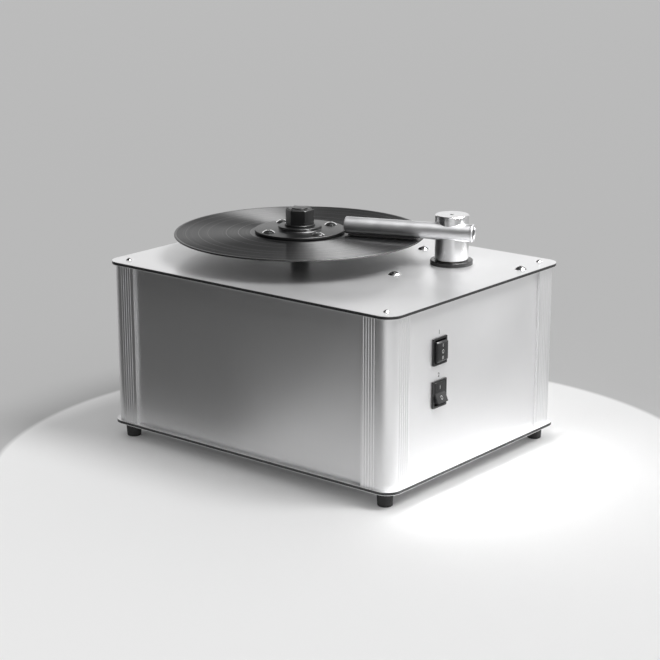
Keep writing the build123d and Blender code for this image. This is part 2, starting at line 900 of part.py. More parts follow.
seat_top_z = shaft_end_z - seat_gap
with BuildPart() as spring_seat:
    turned(post_x, post_y, seat_top_z, (
        (arm_shaft_bore, -seat_thickness),
        (seat_radius, -seat_thickness),
        (seat_radius, 0),
        (arm_shaft_bore, 0),
    ))
spring_seat.part.label = "spring_seat"
export_step(spring_seat.part, "parts/spring_seat.step")

spring_floor_z = chamber_z + chamber_floor
spring_length = seat_top_z - seat_thickness - spring_floor_z
spring_rise = spring_length - 2 * spring_wire
with BuildPart() as lift_spring:
    with BuildLine(level(post_x, post_y, spring_floor_z + spring_wire)) as spring_line:
        Helix(spring_rise / spring_turns, spring_rise, spring_radius)
    with BuildSketch(Plane(origin=spring_line.line @ 0, z_dir=spring_line.line % 0)):
        Circle(spring_wire)
    sweep(path=spring_line.line, is_frenet=True)
lift_spring.part.label = "lift_spring"
export_step(lift_spring.part, "parts/lift_spring.step")

with BuildPart() as arm_shaft:
    with BuildSketch(level(post_x, post_y, shaft_end_z)):
        Circle(arm_shaft_radius)
        Circle(arm_shaft_bore, mode=Mode.SUBTRACT)
    extrude(amount=post_z + arm_shaft_grip - shaft_end_z)
arm_shaft.part.label = "arm_shaft"
export_step(arm_shaft.part, "parts/arm_shaft.step")

# Cross hole that joins the bore of the tube with the bore of the post.
port_plane = Plane(
    origin=(post_x, post_y, tube_z),
    x_dir=(along_x, along_y, 0),
    z_dir=(along_y, -along_x, 0),
)
with BuildPart() as arm_post:
    with BuildSketch(level(post_x, post_y, post_z)):
        Circle(post_radius)
    extrude(amount=post_top_z - post_z)
    chamfer(arm_post.edges().group_by(Axis.Z)[-1], post_edge)
    bored(post_x, post_y, post_z, arm_shaft_radius + fixed_fit, arm_shaft_grip)
    bored(post_x, post_y, post_z, arm_shaft_bore, tube_z - post_z)
    with BuildSketch(arm_section.offset(tube_tip)):
        Circle(tube_radius + fixed_fit)
    extrude(amount=tube_rear - tube_tip, mode=Mode.SUBTRACT)
    with BuildSketch(port_plane):
        Circle(air_port)
    extrude(amount=arm_offset, mode=Mode.SUBTRACT)
    bored(post_x, post_y, post_top_z - post_screw_length, post_screw_radius / 2 + fixed_fit, post_screw_length)
arm_post.part.label = "arm_post"
export_step(arm_post.part, "parts/arm_post.step")

with BuildPart() as post_screw:
    turned(post_x, post_y, post_top_z, (
        (0, -post_screw_length),
        (post_screw_radius / 2, -post_screw_length),
        (post_screw_radius / 2, 0),
        (post_screw_radius, 0),
        (post_screw_radius, post_screw_height / 2),
        (post_screw_radius * 0.6, post_screw_height),
        (0, post_screw_height),
    ))
post_screw.part.label = "post_screw"
export_step(post_screw.part, "parts/post_screw.step")

rim_start = tube_rear - rim_length
felt_thickness = tube_above_record - felt_gap - felt_flat
felt_inner = slot_width / 2
flat_width = 2 * sqrt(tube_radius ** 2 - felt_flat ** 2)
with BuildPart() as arm_tube:
    with BuildSketch(arm_section.offset(tube_tip)):
        Circle(tube_radius)
        Circle(tube_bore, mode=Mode.SUBTRACT)
    extrude(amount=rim_start - tube_tip)
    with BuildSketch(arm_section.offset(rim_start)):
        Circle(rim_radius)
        Circle(rim_bore, mode=Mode.SUBTRACT)
    extrude(amount=rim_length)
    with BuildSketch(arm_section.offset(slot_start - 1)):
        with Locations((0, -felt_flat - tube_radius / 2)):
            Rectangle(2 * tube_radius, tube_radius)
    extrude(amount=slot_end - slot_start + 2, mode=Mode.SUBTRACT)
    with BuildSketch(arm_section.offset(slot_start)):
        with Locations((0, -tube_radius / 2)):
            Rectangle(slot_width, tube_radius)
    extrude(amount=slot_end - slot_start, mode=Mode.SUBTRACT)
    with BuildSketch(port_plane):
        Circle(air_port)
    extrude(amount=arm_offset, mode=Mode.SUBTRACT)
arm_tube.part.label = "arm_tube"
export_step(arm_tube.part, "parts/arm_tube.step")

with BuildPart() as arm_tip_cap:
    with BuildSketch(arm_section.offset(tube_tip)):
        Circle(tube_bore - fixed_fit)
    extrude(amount=tip_cap)
    with BuildSketch(arm_section.offset(tube_tip - tip_cap)):
        Circle(tube_radius)
    extrude(amount=tip_cap)
    chamfer(arm_tip_cap.edges().filter_by(GeomType.CIRCLE).sort_by(
        Axis((record_x, record_y, tube_z), (along_x, along_y, 0)))[0], tip_cap * 0.8)
arm_tip_cap.part.label = "arm_tip_cap"
export_step(arm_tip_cap.part, "parts/arm_tip_cap.step")

with BuildPart() as arm_rear_plug:
    with BuildSketch(arm_section.offset(rim_start)):
        Circle(rim_bore - fixed_fit)
    extrude(amount=rim_length - 1)
arm_rear_plug.part.label = "arm_rear_plug"
export_step(arm_rear_plug.part, "parts/arm_rear_plug.step")

with BuildPart() as felt_strips:
    with BuildSketch(arm_section.offset(slot_start)):
        with Locations(
            (-felt_inner - felt_width / 2, -felt_flat - felt_thickness / 2),
            (felt_inner + felt_width / 2, -felt_flat - felt_thickness / 2),
        ):
            Rectangle(felt_width, felt_thickness)
    extrude(amount=slot_end - slot_start)
felt_strips.part.label = "felt_strips"
export_step(felt_strips.part, "parts/felt_strips.step")

# ==================================================== waste tank and drain
nozzle_z = ceiling_z - nozzle_below_plate
nozzle_start_x = tank_x - sqrt(tank_radius ** 2 - (vacuum_y - tank_y) ** 2)
with BuildPart() as waste_tank:
    with BuildSketch(level(tank_x, tank_y, tank_z)):
        Circle(tank_radius)
    extrude(amount=tank_depth)
    for x, y in tank_screw_places:
        ear_x = x - tank_x
        ear_y = y - tank_y
        ear_reach = hypot(ear_x, ear_y)
        ear_start = tank_radius - tank_wall
        web_at = (ear_start + ear_reach) / 2 / ear_reach
        with BuildSketch(level(tank_x, tank_y, ceiling_z - tank_ear_depth)):
            with Locations((ear_x, ear_y)):
                Circle(tank_ear)
            with Locations((ear_x * web_at, ear_y * web_at)):
                Rectangle(ear_reach - ear_start, 2 * tank_ear, rotation=degrees(atan2(ear_y, ear_x)))
        extrude(amount=tank_ear_depth)
    with BuildSketch(Plane(origin=(nozzle_start_x + tank_wall, vacuum_y, nozzle_z), z_dir=(-1, 0, 0))):
        Circle(nozzle_radius)
    extrude(amount=tank_wall + nozzle_length)
    with BuildSketch(level(drain_x, tank_y, tank_z - drain_barb_length)):
        Circle(drain_barb_radius)
    extrude(amount=drain_barb_length)
    bored(tank_x, tank_y, tank_z + tank_wall, tank_radius - tank_wall, tank_depth)
    with BuildSketch(Plane(origin=(nozzle_start_x + 4 * tank_wall, vacuum_y, nozzle_z), z_dir=(-1, 0, 0))):
        Circle(nozzle_bore)
    extrude(amount=5 * tank_wall + nozzle_length, mode=Mode.SUBTRACT)
    bored(drain_x, tank_y, tank_z - drain_barb_length, drain_barb_bore, drain_barb_length + tank_wall)
    for x, y in tank_screw_places:
        bored(x, y, ceiling_z - tank_ear_depth, large_shank + thread_fit, tank_ear_depth)
waste_tank.part.label = "waste_tank"
export_step(waste_tank.part, "parts/waste_tank.step")

inner_face_y = front_face - panel_thickness
spout_end_y = front_face + spout_proud
with BuildPart() as drain_spout:
    with BuildSketch(Plane.XZ.offset(-(inner_face_y - spout_nut))):
        with Locations((drain_x, drain_z)):
            Circle(spout_nut_radius)
    extrude(amount=-spout_nut)
    with BuildSketch(Plane.XZ.offset(-(inner_face_y - spout_nut))):
        with Locations((drain_x, drain_z)):
            Circle(spout_radius - fixed_fit)
    extrude(amount=-(spout_end_y - inner_face_y + spout_nut))
    with BuildSketch(Plane.XZ.offset(-(inner_face_y - spout_nut - drain_barb_length))):
        with Locations((drain_x, drain_z)):
            Circle(drain_barb_radius)
    extrude(amount=-drain_barb_length)
    with BuildSketch(Plane.XZ.offset(-(inner_face_y - spout_nut - drain_barb_length))):
        with Locations((drain_x, drain_z)):
            Circle(drain_barb_bore)
    extrude(amount=-(drain_barb_length + spout_nut), mode=Mode.SUBTRACT)
    with BuildSketch(Plane.XZ.offset(-spout_end_y)):
        with Locations((drain_x, drain_z)):
            Circle(plug_radius + running_fit)
    extrude(amount=plug_length, mode=Mode.SUBTRACT)
drain_spout.part.label = "drain_spout"
export_step(drain_spout.part, "parts/drain_spout.step")

with BuildPart() as drain_plug:
    with BuildSketch(Plane.XZ.offset(-spout_end_y)):
        with Locations((drain_x, drain_z)):
            Circle(plug_radius)
    extrude(amount=plug_length - 1)
    with BuildSketch(Plane.XZ.offset(-spout_end_y)):
        with Locations((drain_x, drain_z)):
            Circle(plug_head_radius)
    extrude(amount=-plug_head)
    chamfer(drain_plug.edges().group_by(Axis.Y)[-1], 0.6)
drain_plug.part.label = "drain_plug"
export_step(drain_plug.part, "parts/drain_plug.step")

hose_radius = drain_barb_radius + fixed_fit + hose_wall
hose_top_z = tank_z - hose_gap
hose_end_y = inner_face_y - spout_nut - hose_gap
with BuildPart() as drain_hose:
    with BuildLine() as hose_path:
        FilletPolyline(
            (drain_x, tank_y, hose_top_z),
            (drain_x, tank_y, drain_z),
            (drain_x, hose_end_y, drain_z),
            radius=hose_bend,
        )
    with BuildSketch(level(drain_x, tank_y, hose_top_z)):
        Circle(hose_radius)
        Circle(drain_barb_radius + fixed_fit, mode=Mode.SUBTRACT)
    sweep(path=hose_path.line)
drain_hose.part.label = "drain_hose"
export_step(drain_hose.part, "parts/drain_hose.step")

# ============================================================== vacuum unit
housing_z = floor_z + vacuum_can_height
housing_top_z = housing_z + housing_height
impeller_z = housing_z + impeller_gap
with BuildPart() as vacuum_motor:
    with BuildSketch(level(vacuum_x, vacuum_y, floor_z)):
        Circle(vacuum_can_radius)
    extrude(amount=vacuum_can_height)
    bored(vacuum_x, vacuum_y, floor_z + 10, fan_shaft_radius + running_fit, vacuum_can_height)
    with BuildSketch(level(vacuum_x, vacuum_y, floor_z + vacuum_can_height / 3)):
        with PolarLocations(vacuum_can_radius, 12):
            Rectangle(12, 6)
    extrude(amount=vacuum_can_height / 3, mode=Mode.SUBTRACT)
vacuum_motor.part.label = "vacuum_motor"
export_step(vacuum_motor.part, "parts/vacuum_motor.step")

with BuildPart() as vacuum_housing:
    turned(vacuum_x, vacuum_y, housing_z, (
        (fan_shaft_radius + 2, 0),
        (housing_radius, 0),
        (housing_radius, housing_height),
        (nozzle_radius, housing_height),
        (nozzle_radius, housing_height + elbow_overlap),
        (nozzle_bore, housing_height + elbow_overlap),
        (nozzle_bore, housing_height - housing_wall),
        (housing_radius - housing_wall, housing_height - housing_wall),
        (housing_radius - housing_wall, housing_wall),
        (fan_shaft_radius + 2, housing_wall),
    ))
    with BuildSketch(level(vacuum_x, vacuum_y, housing_z + 10)):
        with PolarLocations(housing_radius, exhaust_slots, start_angle=115, angular_range=150):
            Rectangle(12, 16)
    extrude(amount=exhaust_slot_height, mode=Mode.SUBTRACT)
vacuum_housing.part.label = "vacuum_housing"
export_step(vacuum_housing.part, "parts/vacuum_housing.step")

with BuildPart() as vacuum_impeller:
    with BuildSketch(level(vacuum_x, vacuum_y, impeller_z)):
        Circle(impeller_radius)
    extrude(amount=impeller_disc)
    with BuildSketch(level(vacuum_x, vacuum_y, impeller_z + impeller_disc)):
        with PolarLocations((impeller_radius + impeller_hub) / 2, impeller_blades):
            Rectangle(impeller_radius - impeller_hub - 1, impeller_disc, rotation=25)
    extrude(amount=impeller_height - impeller_disc)
    with BuildSketch(level(vacuum_x, vacuum_y, impeller_z)):
        Circle(impeller_hub)
    extrude(amount=impeller_height)
    with BuildSketch(level(vacuum_x, vacuum_y, floor_z + 11)):
        Circle(fan_shaft_radius)
    extrude(amount=impeller_z - floor_z - 11)
vacuum_impeller.part.label = "vacuum_impeller"
export_step(vacuum_impeller.part, "parts/vacuum_impeller.step")

elbow_radius = nozzle_radius + fixed_fit + elbow_wall
elbow_start_x = nozzle_start_x - nozzle_length + elbow_overlap
elbow_bend = min(elbow_bend_largest, nozzle_z - housing_top_z - elbow_overlap - 1)
with BuildPart() as suction_elbow:
    with BuildLine() as elbow_path:
        FilletPolyline(
            (elbow_start_x, vacuum_y, nozzle_z),
            (vacuum_x, vacuum_y, nozzle_z),
            (vacuum_x, vacuum_y, housing_top_z + 1),
            radius=elbow_bend,
        )
    with BuildSketch(Plane(origin=(elbow_start_x, vacuum_y, nozzle_z), z_dir=(-1, 0, 0))):
        Circle(elbow_radius)
        Circle(nozzle_radius + fixed_fit, mode=Mode.SUBTRACT)
    sweep(path=elbow_path.line)
suction_elbow.part.label = "suction_elbow"
export_step(suction_elbow.part, "parts/suction_elbow.step")

# ========================================================= rocker switches
opening_width = bezel_width - 2 * bezel_rim
opening_height = bezel_height - 2 * bezel_rim
body_play_width = cutout_width - 2 * switch_body_gap
body_play_height = cutout_height - 2 * switch_body_gap
cavity_width = body_play_width - 2 * bezel_rim + 1
cavity_height = body_play_height - bezel_rim
rocker_width = cavity_width - 2 * rocker_play
rocker_valley = rocker_pivot_depth + rocker_play
rocker_reach = cavity_height / 2 - rocker_play / 2 - rocker_valley * sin(radians(rocker_tilt))
rocker_half = rocker_reach * cos(radians(rocker_tilt))
back_y = front_face - switch_body_depth


def switch_body(z):
    """Bezel, box and blades of a rocker switch at a height."""
    front = Plane.XZ.offset(front_face)
    with BuildSketch(front) as bezel:
        with Locations((switch_x, z)):
            RectangleRounded(bezel_width, bezel_height, 1.2)
    extrude(bezel.sketch, amount=bezel_thickness)
    with BuildSketch(front) as box:
        with Locations((switch_x, z)):
            Rectangle(body_play_width, body_play_height)
    extrude(box.sketch, amount=-switch_body_depth)
    with BuildSketch(front.offset(bezel_thickness)) as cavity:
        with Locations((switch_x, z)):
            Rectangle(cavity_width, cavity_height)
    extrude(cavity.sketch, amount=-switch_cavity, mode=Mode.SUBTRACT)
    with BuildSketch(Plane.YZ.offset(switch_x - cavity_width / 2 - rocker_pin_length)) as bore:
        with Locations((-pivot_y, z)):
            Circle(rocker_pin + running_fit)
    extrude(bore.sketch, amount=cavity_width + 2 * rocker_pin_length, mode=Mode.SUBTRACT)
    with BuildSketch(front.offset(-switch_body_depth)) as blades:
        with Locations((switch_x, z)):
            with GridLocations(0, body_play_height / 3, 1, 3):
                Rectangle(blade_width, blade_thickness)
    extrude(blades.sketch, amount=-blade_length)


def rocker(z, outline, tilt):
    """Rocker with its two pivot pins; the outline is (outwards, up) from the pivot."""
    outwards = (0, -cos(radians(tilt)), sin(radians(tilt)))
    side = Plane(origin=(switch_x, -pivot_y, z), x_dir=outwards, z_dir=(-1, 0, 0))
    with BuildSketch(side) as section:
        with BuildLine():
            Polyline(*outline, close=True)
        make_face()
    extrude(section.sketch, amount=rocker_width / 2, both=True)
    with BuildSketch(side) as pin:
        Circle(rocker_pin)
    extrude(pin.sketch, amount=rocker_width / 2 + rocker_play + rocker_pin_length - 0.2, both=True)


with BuildPart() as motor_switch_body:
    switch_body(motor_switch_z)
motor_switch_body.part.label = "motor_switch_body"
export_step(motor_switch_body.part, "parts/motor_switch_body.step")

with BuildPart() as vacuum_switch_body:
    switch_body(vacuum_switch_z)
vacuum_switch_body.part.label = "vacuum_switch_body"
export_step(vacuum_switch_body.part, "parts/vacuum_switch_body.step")

rocker_front = rocker_pivot_depth + rocker_proud
with BuildPart() as motor_switch_rocker:
    rocker(motor_switch_z, (
        (-rocker_back, -rocker_half + rocker_edge),
        (rocker_front - rocker_edge, -rocker_half),
        (rocker_front, -rocker_half + rocker_edge),
        (rocker_front, rocker_half - rocker_edge),
        (rocker_front - rocker_edge, rocker_half),
        (-rocker_back, rocker_half - rocker_edge),
    ), 0)
motor_switch_rocker.part.label = "motor_switch_rocker"
export_step(motor_switch_rocker.part, "parts/motor_switch_rocker.step")

# The two-position rocker is a shallow V, stored with its top half pressed in.
ridge = rocker_valley + rocker_half * tan(radians(rocker_tilt))
with BuildPart() as vacuum_switch_rocker:
    rocker(vacuum_switch_z, (
        (-rocker_back, -rocker_half + rocker_edge),
        (ridge, -rocker_half),
        (rocker_valley, 0),
        (ridge, rocker_half),
        (-rocker_back, rocker_half - rocker_edge),
    ), rocker_tilt)
vacuum_switch_rocker.part.label = "vacuum_switch_rocker"
export_step(vacuum_switch_rocker.part, "parts/vacuum_switch_rocker.step")

# ================================================= mains inlet and its fuse
socket_z = inlet_z - socket_below
drawer_z = inlet_z + drawer_above
flange_y = front_face + inlet_flange


def at_rear(distance):
    """Vertical plane facing -Y at a distance behind the middle."""
    return Plane.XZ.offset(-distance)


with BuildPart() as mains_inlet:
    with BuildSketch(at_rear(flange_y)):
        with Locations((inlet_x, inlet_z)):
            RectangleRounded(inlet_flange_width, inlet_flange_height, 3)
    extrude(amount=inlet_flange)
    with BuildSketch(at_rear(front_face)):
        with Locations((inlet_x, inlet_z)):
            Rectangle(inlet_body_width - 2 * fixed_fit, inlet_body_height - 2 * fixed_fit)
    extrude(amount=inlet_body_depth)
    with BuildSketch(at_rear(flange_y)):
        with Locations((inlet_x, socket_z)):
            Rectangle(socket_width, socket_height)
        with Locations((inlet_x, drawer_z)):
            Rectangle(drawer_width + 2 * drawer_play, drawer_height + 2 * drawer_play)
    extrude(amount=socket_depth, mode=Mode.SUBTRACT)
    with BuildSketch(at_rear(flange_y)):
        with Locations((inlet_x, drawer_z)):
            Rectangle(drawer_width + 2 * drawer_play, drawer_height + 2 * drawer_play)
    extrude(amount=drawer_depth + 1, mode=Mode.SUBTRACT)
    with BuildSketch(at_rear(flange_y - socket_depth)):
        with Locations(
            (inlet_x - inlet_pin_spacing, socket_z - 2),
            (inlet_x + inlet_pin_spacing, socket_z - 2),
            (inlet_x, socket_z + 2),
        ):
            Rectangle(inlet_pin_width, inlet_pin_height)
    extrude(amount=-inlet_pin_length)
mains_inlet.part.label = "mains_inlet"
export_step(mains_inlet.part, "parts/mains_inlet.step")

with BuildPart() as fuse_drawer:
    with BuildSketch(at_rear(flange_y + drawer_lip)):
        with Locations((inlet_x, drawer_z)):
            Rectangle(drawer_width, drawer_height)
    extrude(amount=drawer_depth + drawer_lip)
    with BuildSketch(at_rear(flange_y + drawer_lip)):
        with Locations((inlet_x, drawer_z - drawer_height / 2 + drawer_lip)):
            Rectangle(drawer_width / 3, drawer_lip)
    extrude(amount=drawer_lip / 2, mode=Mode.SUBTRACT)
fuse_drawer.part.label = "fuse_drawer"
export_step(fuse_drawer.part, "parts/fuse_drawer.step")

# ============================================================ control board
board_z = floor_z + board_height
with BuildPart() as control_board:
    with BuildSketch(level(board_x, board_y, board_z)):
        Rectangle(board_width, board_depth)
    extrude(amount=board_thickness)
    with BuildSketch(level(board_x, board_y, floor_z)):
        with GridLocations(board_width - 2 * spacer_inset, board_depth - 2 * spacer_inset, 2, 2):
            Circle(spacer_radius)
    extrude(amount=board_height)
    with BuildSketch(level(board_x - 20, board_y + 20, board_z + board_thickness)):
        Rectangle(34, 30)
    extrude(amount=28)
    with BuildSketch(level(board_x + 22, board_y - 22, board_z + board_thickness)):
        with GridLocations(20, 0, 2, 1):
            Rectangle(15, 28)
    extrude(amount=16)
    with BuildSketch(level(board_x - 22, board_y - 22, board_z + board_thickness)):
        Circle(12)
    extrude(amount=26)
control_board.part.label = "control_board"
export_step(control_board.part, "parts/control_board.step")

# ==================================================================== wiring
# Straight runs and bends, from the switches, the motors and the inlet to the board.
board_top_z = board_z + board_thickness + lead_radius + lead_gap
blade_tip_y = switch_body_depth + blade_length - front_face + lead_gap
inlet_back_y = front_face - inlet_body_depth - lead_gap
motor_base_z = motor_top_z - motor_length - lead_gap
vacuum_side_y = vacuum_y + vacuum_can_radius + lead_gap
motor_lead_z = (motor_base_z + board_top_z - lead_radius) / 2


def lead(*corners):
    """Round lead along a chain of corners with rounded bends."""
    with BuildLine() as run:
        FilletPolyline(*corners, radius=lead_bend)
    with BuildSketch(Plane(origin=run.line @ 0, z_dir=run.line % 0)) as section:
        Circle(lead_radius)
    sweep(section.sketch, path=run.line)


with BuildPart() as wiring:
    lead(
        (switch_x, blade_tip_y, motor_switch_z),
        (switch_x, blade_tip_y + lead_reach, motor_switch_z),
        (lead_lane_x, blade_tip_y + lead_reach, motor_switch_z),
        (lead_lane_x, board_y - 6, motor_switch_z),
        (lead_lane_x, board_y - 6, board_top_z),
        (board_x - 33, board_y - 6, board_top_z),
    )
    lead(
        (switch_x, blade_tip_y, vacuum_switch_z),
        (switch_x, blade_tip_y + lead_reach, vacuum_switch_z),
        (lead_lane_x + 5, blade_tip_y + lead_reach, vacuum_switch_z),
        (lead_lane_x + 5, board_y, vacuum_switch_z),
        (lead_lane_x + 5, board_y, board_top_z),
        (board_x - 33, board_y, board_top_z),
    )
    lead(
        (motor_x, motor_y, motor_base_z),
        (motor_x, motor_y, motor_lead_z),
        (board_x - 39, motor_y, motor_lead_z),
        (board_x - 39, motor_y, board_top_z - lead_radius),
    )
    lead(
        (inlet_x, inlet_back_y, inlet_z),
        (inlet_x, board_y + 40, inlet_z),
        (inlet_x, board_y + 40, board_top_z - lead_radius),
    )
    lead(
        (board_x - 15, board_y - 40, board_top_z),
        (vacuum_x, board_y - 40, board_top_z),
        (vacuum_x, vacuum_side_y, board_top_z),
    )
wiring.part.label = "wiring"
export_step(wiring.part, "parts/wiring.step")
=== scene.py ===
"""Looks of a record cleaning machine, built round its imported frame.

Every piece is modelled in millimetres in the row frame and stored in metres.
+Z is up, the switches face -Y and the arm's post stands at +X.
"""

from __future__ import annotations

import functools
import json
import logging
import math
from dataclasses import dataclass
from enum import Enum
from typing import Iterable, Sequence

import bmesh
import bpy
from mathutils import Matrix, Vector


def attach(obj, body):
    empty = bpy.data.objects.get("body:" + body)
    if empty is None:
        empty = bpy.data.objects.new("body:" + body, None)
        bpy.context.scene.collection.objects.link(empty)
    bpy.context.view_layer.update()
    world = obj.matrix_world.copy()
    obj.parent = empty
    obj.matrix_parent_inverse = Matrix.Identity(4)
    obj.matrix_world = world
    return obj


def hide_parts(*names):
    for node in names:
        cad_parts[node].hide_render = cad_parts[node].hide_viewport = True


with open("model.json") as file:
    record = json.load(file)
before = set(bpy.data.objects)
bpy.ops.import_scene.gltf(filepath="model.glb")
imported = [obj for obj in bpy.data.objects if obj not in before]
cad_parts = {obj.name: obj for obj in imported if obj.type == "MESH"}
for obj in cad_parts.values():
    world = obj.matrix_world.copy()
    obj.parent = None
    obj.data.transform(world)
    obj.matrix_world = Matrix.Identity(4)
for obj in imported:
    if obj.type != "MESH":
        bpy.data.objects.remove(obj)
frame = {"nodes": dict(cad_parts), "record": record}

LOG = logging.getLogger("record_cleaner")
MM = 0.001
PHOTO_WIDTH = 660
Point = tuple[float, float]
Triple = tuple[float, float, float]
Socket = bpy.types.NodeSocket
Verts = list[bmesh.types.BMVert]


class Body(Enum):
    """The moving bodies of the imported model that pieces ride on."""

    CABINET = "cabinet"
    SPINDLE = "spindle"
    CLAMP_PLATE = "clamp_plate"
    CLAMP_KNOB = "clamp_knob"
    ARM = "arm"
    MOTOR_ROCKER = "motor_rocker"
    VACUUM_ROCKER = "vacuum_rocker"
    DRAIN_PLUG = "drain_plug"


class Mark(Enum):
    """The three generic signs on a rocker switch."""

    ONE = "one"
    OFF = "off"
    TWO = "two"


# --------------------------------------------------------------------- shading
class Shading:
    """A node tree of one material, with short names for the nodes used here."""

    def __init__(self, name: str) -> None:
        """Start a material with a Principled shader and an output.

        Args:
            name: The material's name.
        """
        self.material = bpy.data.materials.new(name)
        self.material.use_nodes = True
        self.tree = self.material.node_tree
        self.tree.nodes.clear()
        self.output = self.tree.nodes.new("ShaderNodeOutputMaterial")
        self.shader = self.tree.nodes.new("ShaderNodeBsdfPrincipled")
        self.link(self.shader.outputs["BSDF"], self.output.inputs["Surface"])
        self.place = self.tree.nodes.new("ShaderNodeTexCoord").outputs["Object"]

    def link(self, source: Socket, target: Socket) -> None:
        """Join two sockets."""
        self.tree.links.new(source, target)

    def feed(self, name: str, source: Socket) -> None:
        """Join a socket to the shader's own socket of that name."""
        self.link(source, self.shader.inputs[name])

    def constant(self, **values: float | tuple[float, ...]) -> None:
        """Set sockets of the shader to plain values.

        Args:
            values: Socket names with underscores for spaces, and their values.
        """
        for name, value in values.items():
            self.shader.inputs[name.replace("_", " ")].default_value = value

    def stretched(self, scale: Triple, centre: Sequence[float] = (0, 0, 0)) -> Socket:
        """Object coordinates about a centre, stretched along the axes.

        Args:
            scale: Factor on each axis.
            centre: The point, in metres, that becomes the origin.

        Returns:
            The stretched vector.
        """
        node = self.tree.nodes.new("ShaderNodeMapping")
        node.vector_type = "POINT"
        node.inputs["Scale"].default_value = scale
        node.inputs["Location"].default_value = [-c * s for c, s in zip(centre, scale)]
        self.link(self.place, node.inputs["Vector"])
        return node.outputs["Vector"]

    def noise(
        self, vector: Socket, scale: float, detail: float = 3.0, rough: float = 0.55,
    ) -> Socket:
        """Fractal noise.

        Args:
            vector: Where it is read.
            scale: Its frequency per metre.
            detail: Its number of octaves.
            rough: The strength of each octave.

        Returns:
            A value from 0 to 1.
        """
        node = self.tree.nodes.new("ShaderNodeTexNoise")
        node.inputs["Scale"].default_value = scale
        node.inputs["Detail"].default_value = detail
        node.inputs["Roughness"].default_value = rough
        self.link(vector, node.inputs["Vector"])
        return node.outputs["Fac"]

    def spread(
        self, value: Socket, low: float, high: float, start: float = 0.3, end: float = 0.7,
    ) -> Socket:
        """Map a value onto a range.

        Args:
            value: What is mapped.
            low: The result at start.
            high: The result at end.
            start: The value that gives low.
            end: The value that gives high.

        Returns:
            The mapped value.
        """
        node = self.tree.nodes.new("ShaderNodeMapRange")
        node.inputs["From Min"].default_value = start
        node.inputs["From Max"].default_value = end
        node.inputs["To Min"].default_value = low
        node.inputs["To Max"].default_value = high
        self.link(value, node.inputs["Value"])
        return node.outputs["Result"]

    def reckon(self, kind: str, first: Socket, second: Socket | float) -> Socket:
        """One arithmetic step.

        Args:
            kind: The operation's name in Blender.
            first: Its first value.
            second: Its second value.

        Returns:
            The result.
        """
        node = self.tree.nodes.new("ShaderNodeMath")
        node.operation = kind
        self.link(first, node.inputs[0])
        if isinstance(second, (int, float)):
            node.inputs[1].default_value = second
        else:
            self.link(second, node.inputs[1])
        return node.outputs["Value"]

    def blend(self, share: Socket, first: Sequence[float], second: Sequence[float]) -> Socket:
        """Mix two colours.

        Args:
            share: How much of the second colour there is.
            first: A colour.
            second: Another colour.

        Returns:
            The mixed colour.
        """
        node = self.tree.nodes.new("ShaderNodeMix")
        node.data_type = "RGBA"
        node.inputs["A"].default_value = (*first[:3], 1)
        node.inputs["B"].default_value = (*second[:3], 1)
        self.link(share, node.inputs["Factor"])
        return node.outputs["Result"]

    def relief(self, height: Socket, strength: float, depth: float) -> None:
        """Bump the surface.

        Args:
            height: The height from 0 to 1.
            strength: The bump's strength.
            depth: The real height in metres of a step of 1.
        """
        node = self.tree.nodes.new("ShaderNodeBump")
        node.inputs["Strength"].default_value = strength
        node.inputs["Distance"].default_value = depth
        self.link(height, node.inputs["Height"])
        self.feed("Normal", node.outputs["Normal"])

    def level(self, kind: str, centre: Sequence[float]) -> bpy.types.Node:
        """A vector step on the level way from the upright axis through a centre.

        Args:
            kind: The operation's name in Blender.
            centre: A point on the axis, in metres.

        Returns:
            The node.
        """
        node = self.tree.nodes.new("ShaderNodeVectorMath")
        node.operation = kind
        self.link(self.stretched((1, 1, 0), centre), node.inputs[0])
        return node

    def outwards(self, centre: Sequence[float]) -> Socket:
        """The direction away from the upright axis through a centre."""
        return self.level("NORMALIZE", centre).outputs["Vector"]

    def radius(self, centre: Sequence[float]) -> Socket:
        """Distance from the upright axis through a centre, in metres."""
        return self.level("LENGTH", centre).outputs["Value"]

    def radius_line(self, centre: Sequence[float]) -> Socket:
        """The radius laid along X, so that noise read there makes rings.

        Args:
            centre: A point on the axis, in metres.

        Returns:
            The vector.
        """
        node = self.tree.nodes.new("ShaderNodeCombineXYZ")
        self.link(self.radius(centre), node.inputs["X"])
        return node.outputs["Vector"]


def tone(colour: Sequence[float], factor: float) -> Triple:
    """A colour made lighter or darker."""
    return tuple(min(1.0, c * factor) for c in colour[:3])


@dataclass(frozen=True)
class AnodisedSheet:
    """Satin anodised aluminium with a fine rolled grain along one axis."""

    name: str
    colour: Triple
    rough: float
    grain: Triple
    metal: float = 1.0
    mottle: float = 0.025
    scratch: float = 0.02
    depth: float = 0.00002

    def material(self) -> bpy.types.Material:
        """Build the material.

        Returns:
            The new material.
        """
        s = Shading(self.name)
        grain = s.noise(s.stretched(self.grain), 1.0, 4.0, 0.65)
        cloud = s.noise(s.place, 9.0, 2.0)
        s.feed("Base Color", s.blend(grain, tone(self.colour, 0.965), tone(self.colour, 1.02)))
        patches = s.spread(cloud, self.rough - self.mottle, self.rough + self.mottle)
        lines = s.spread(grain, -self.scratch, self.scratch)
        s.feed("Roughness", s.reckon("ADD", patches, lines))
        s.constant(Metallic=self.metal)
        s.relief(grain, 0.06, self.depth)
        return s.material


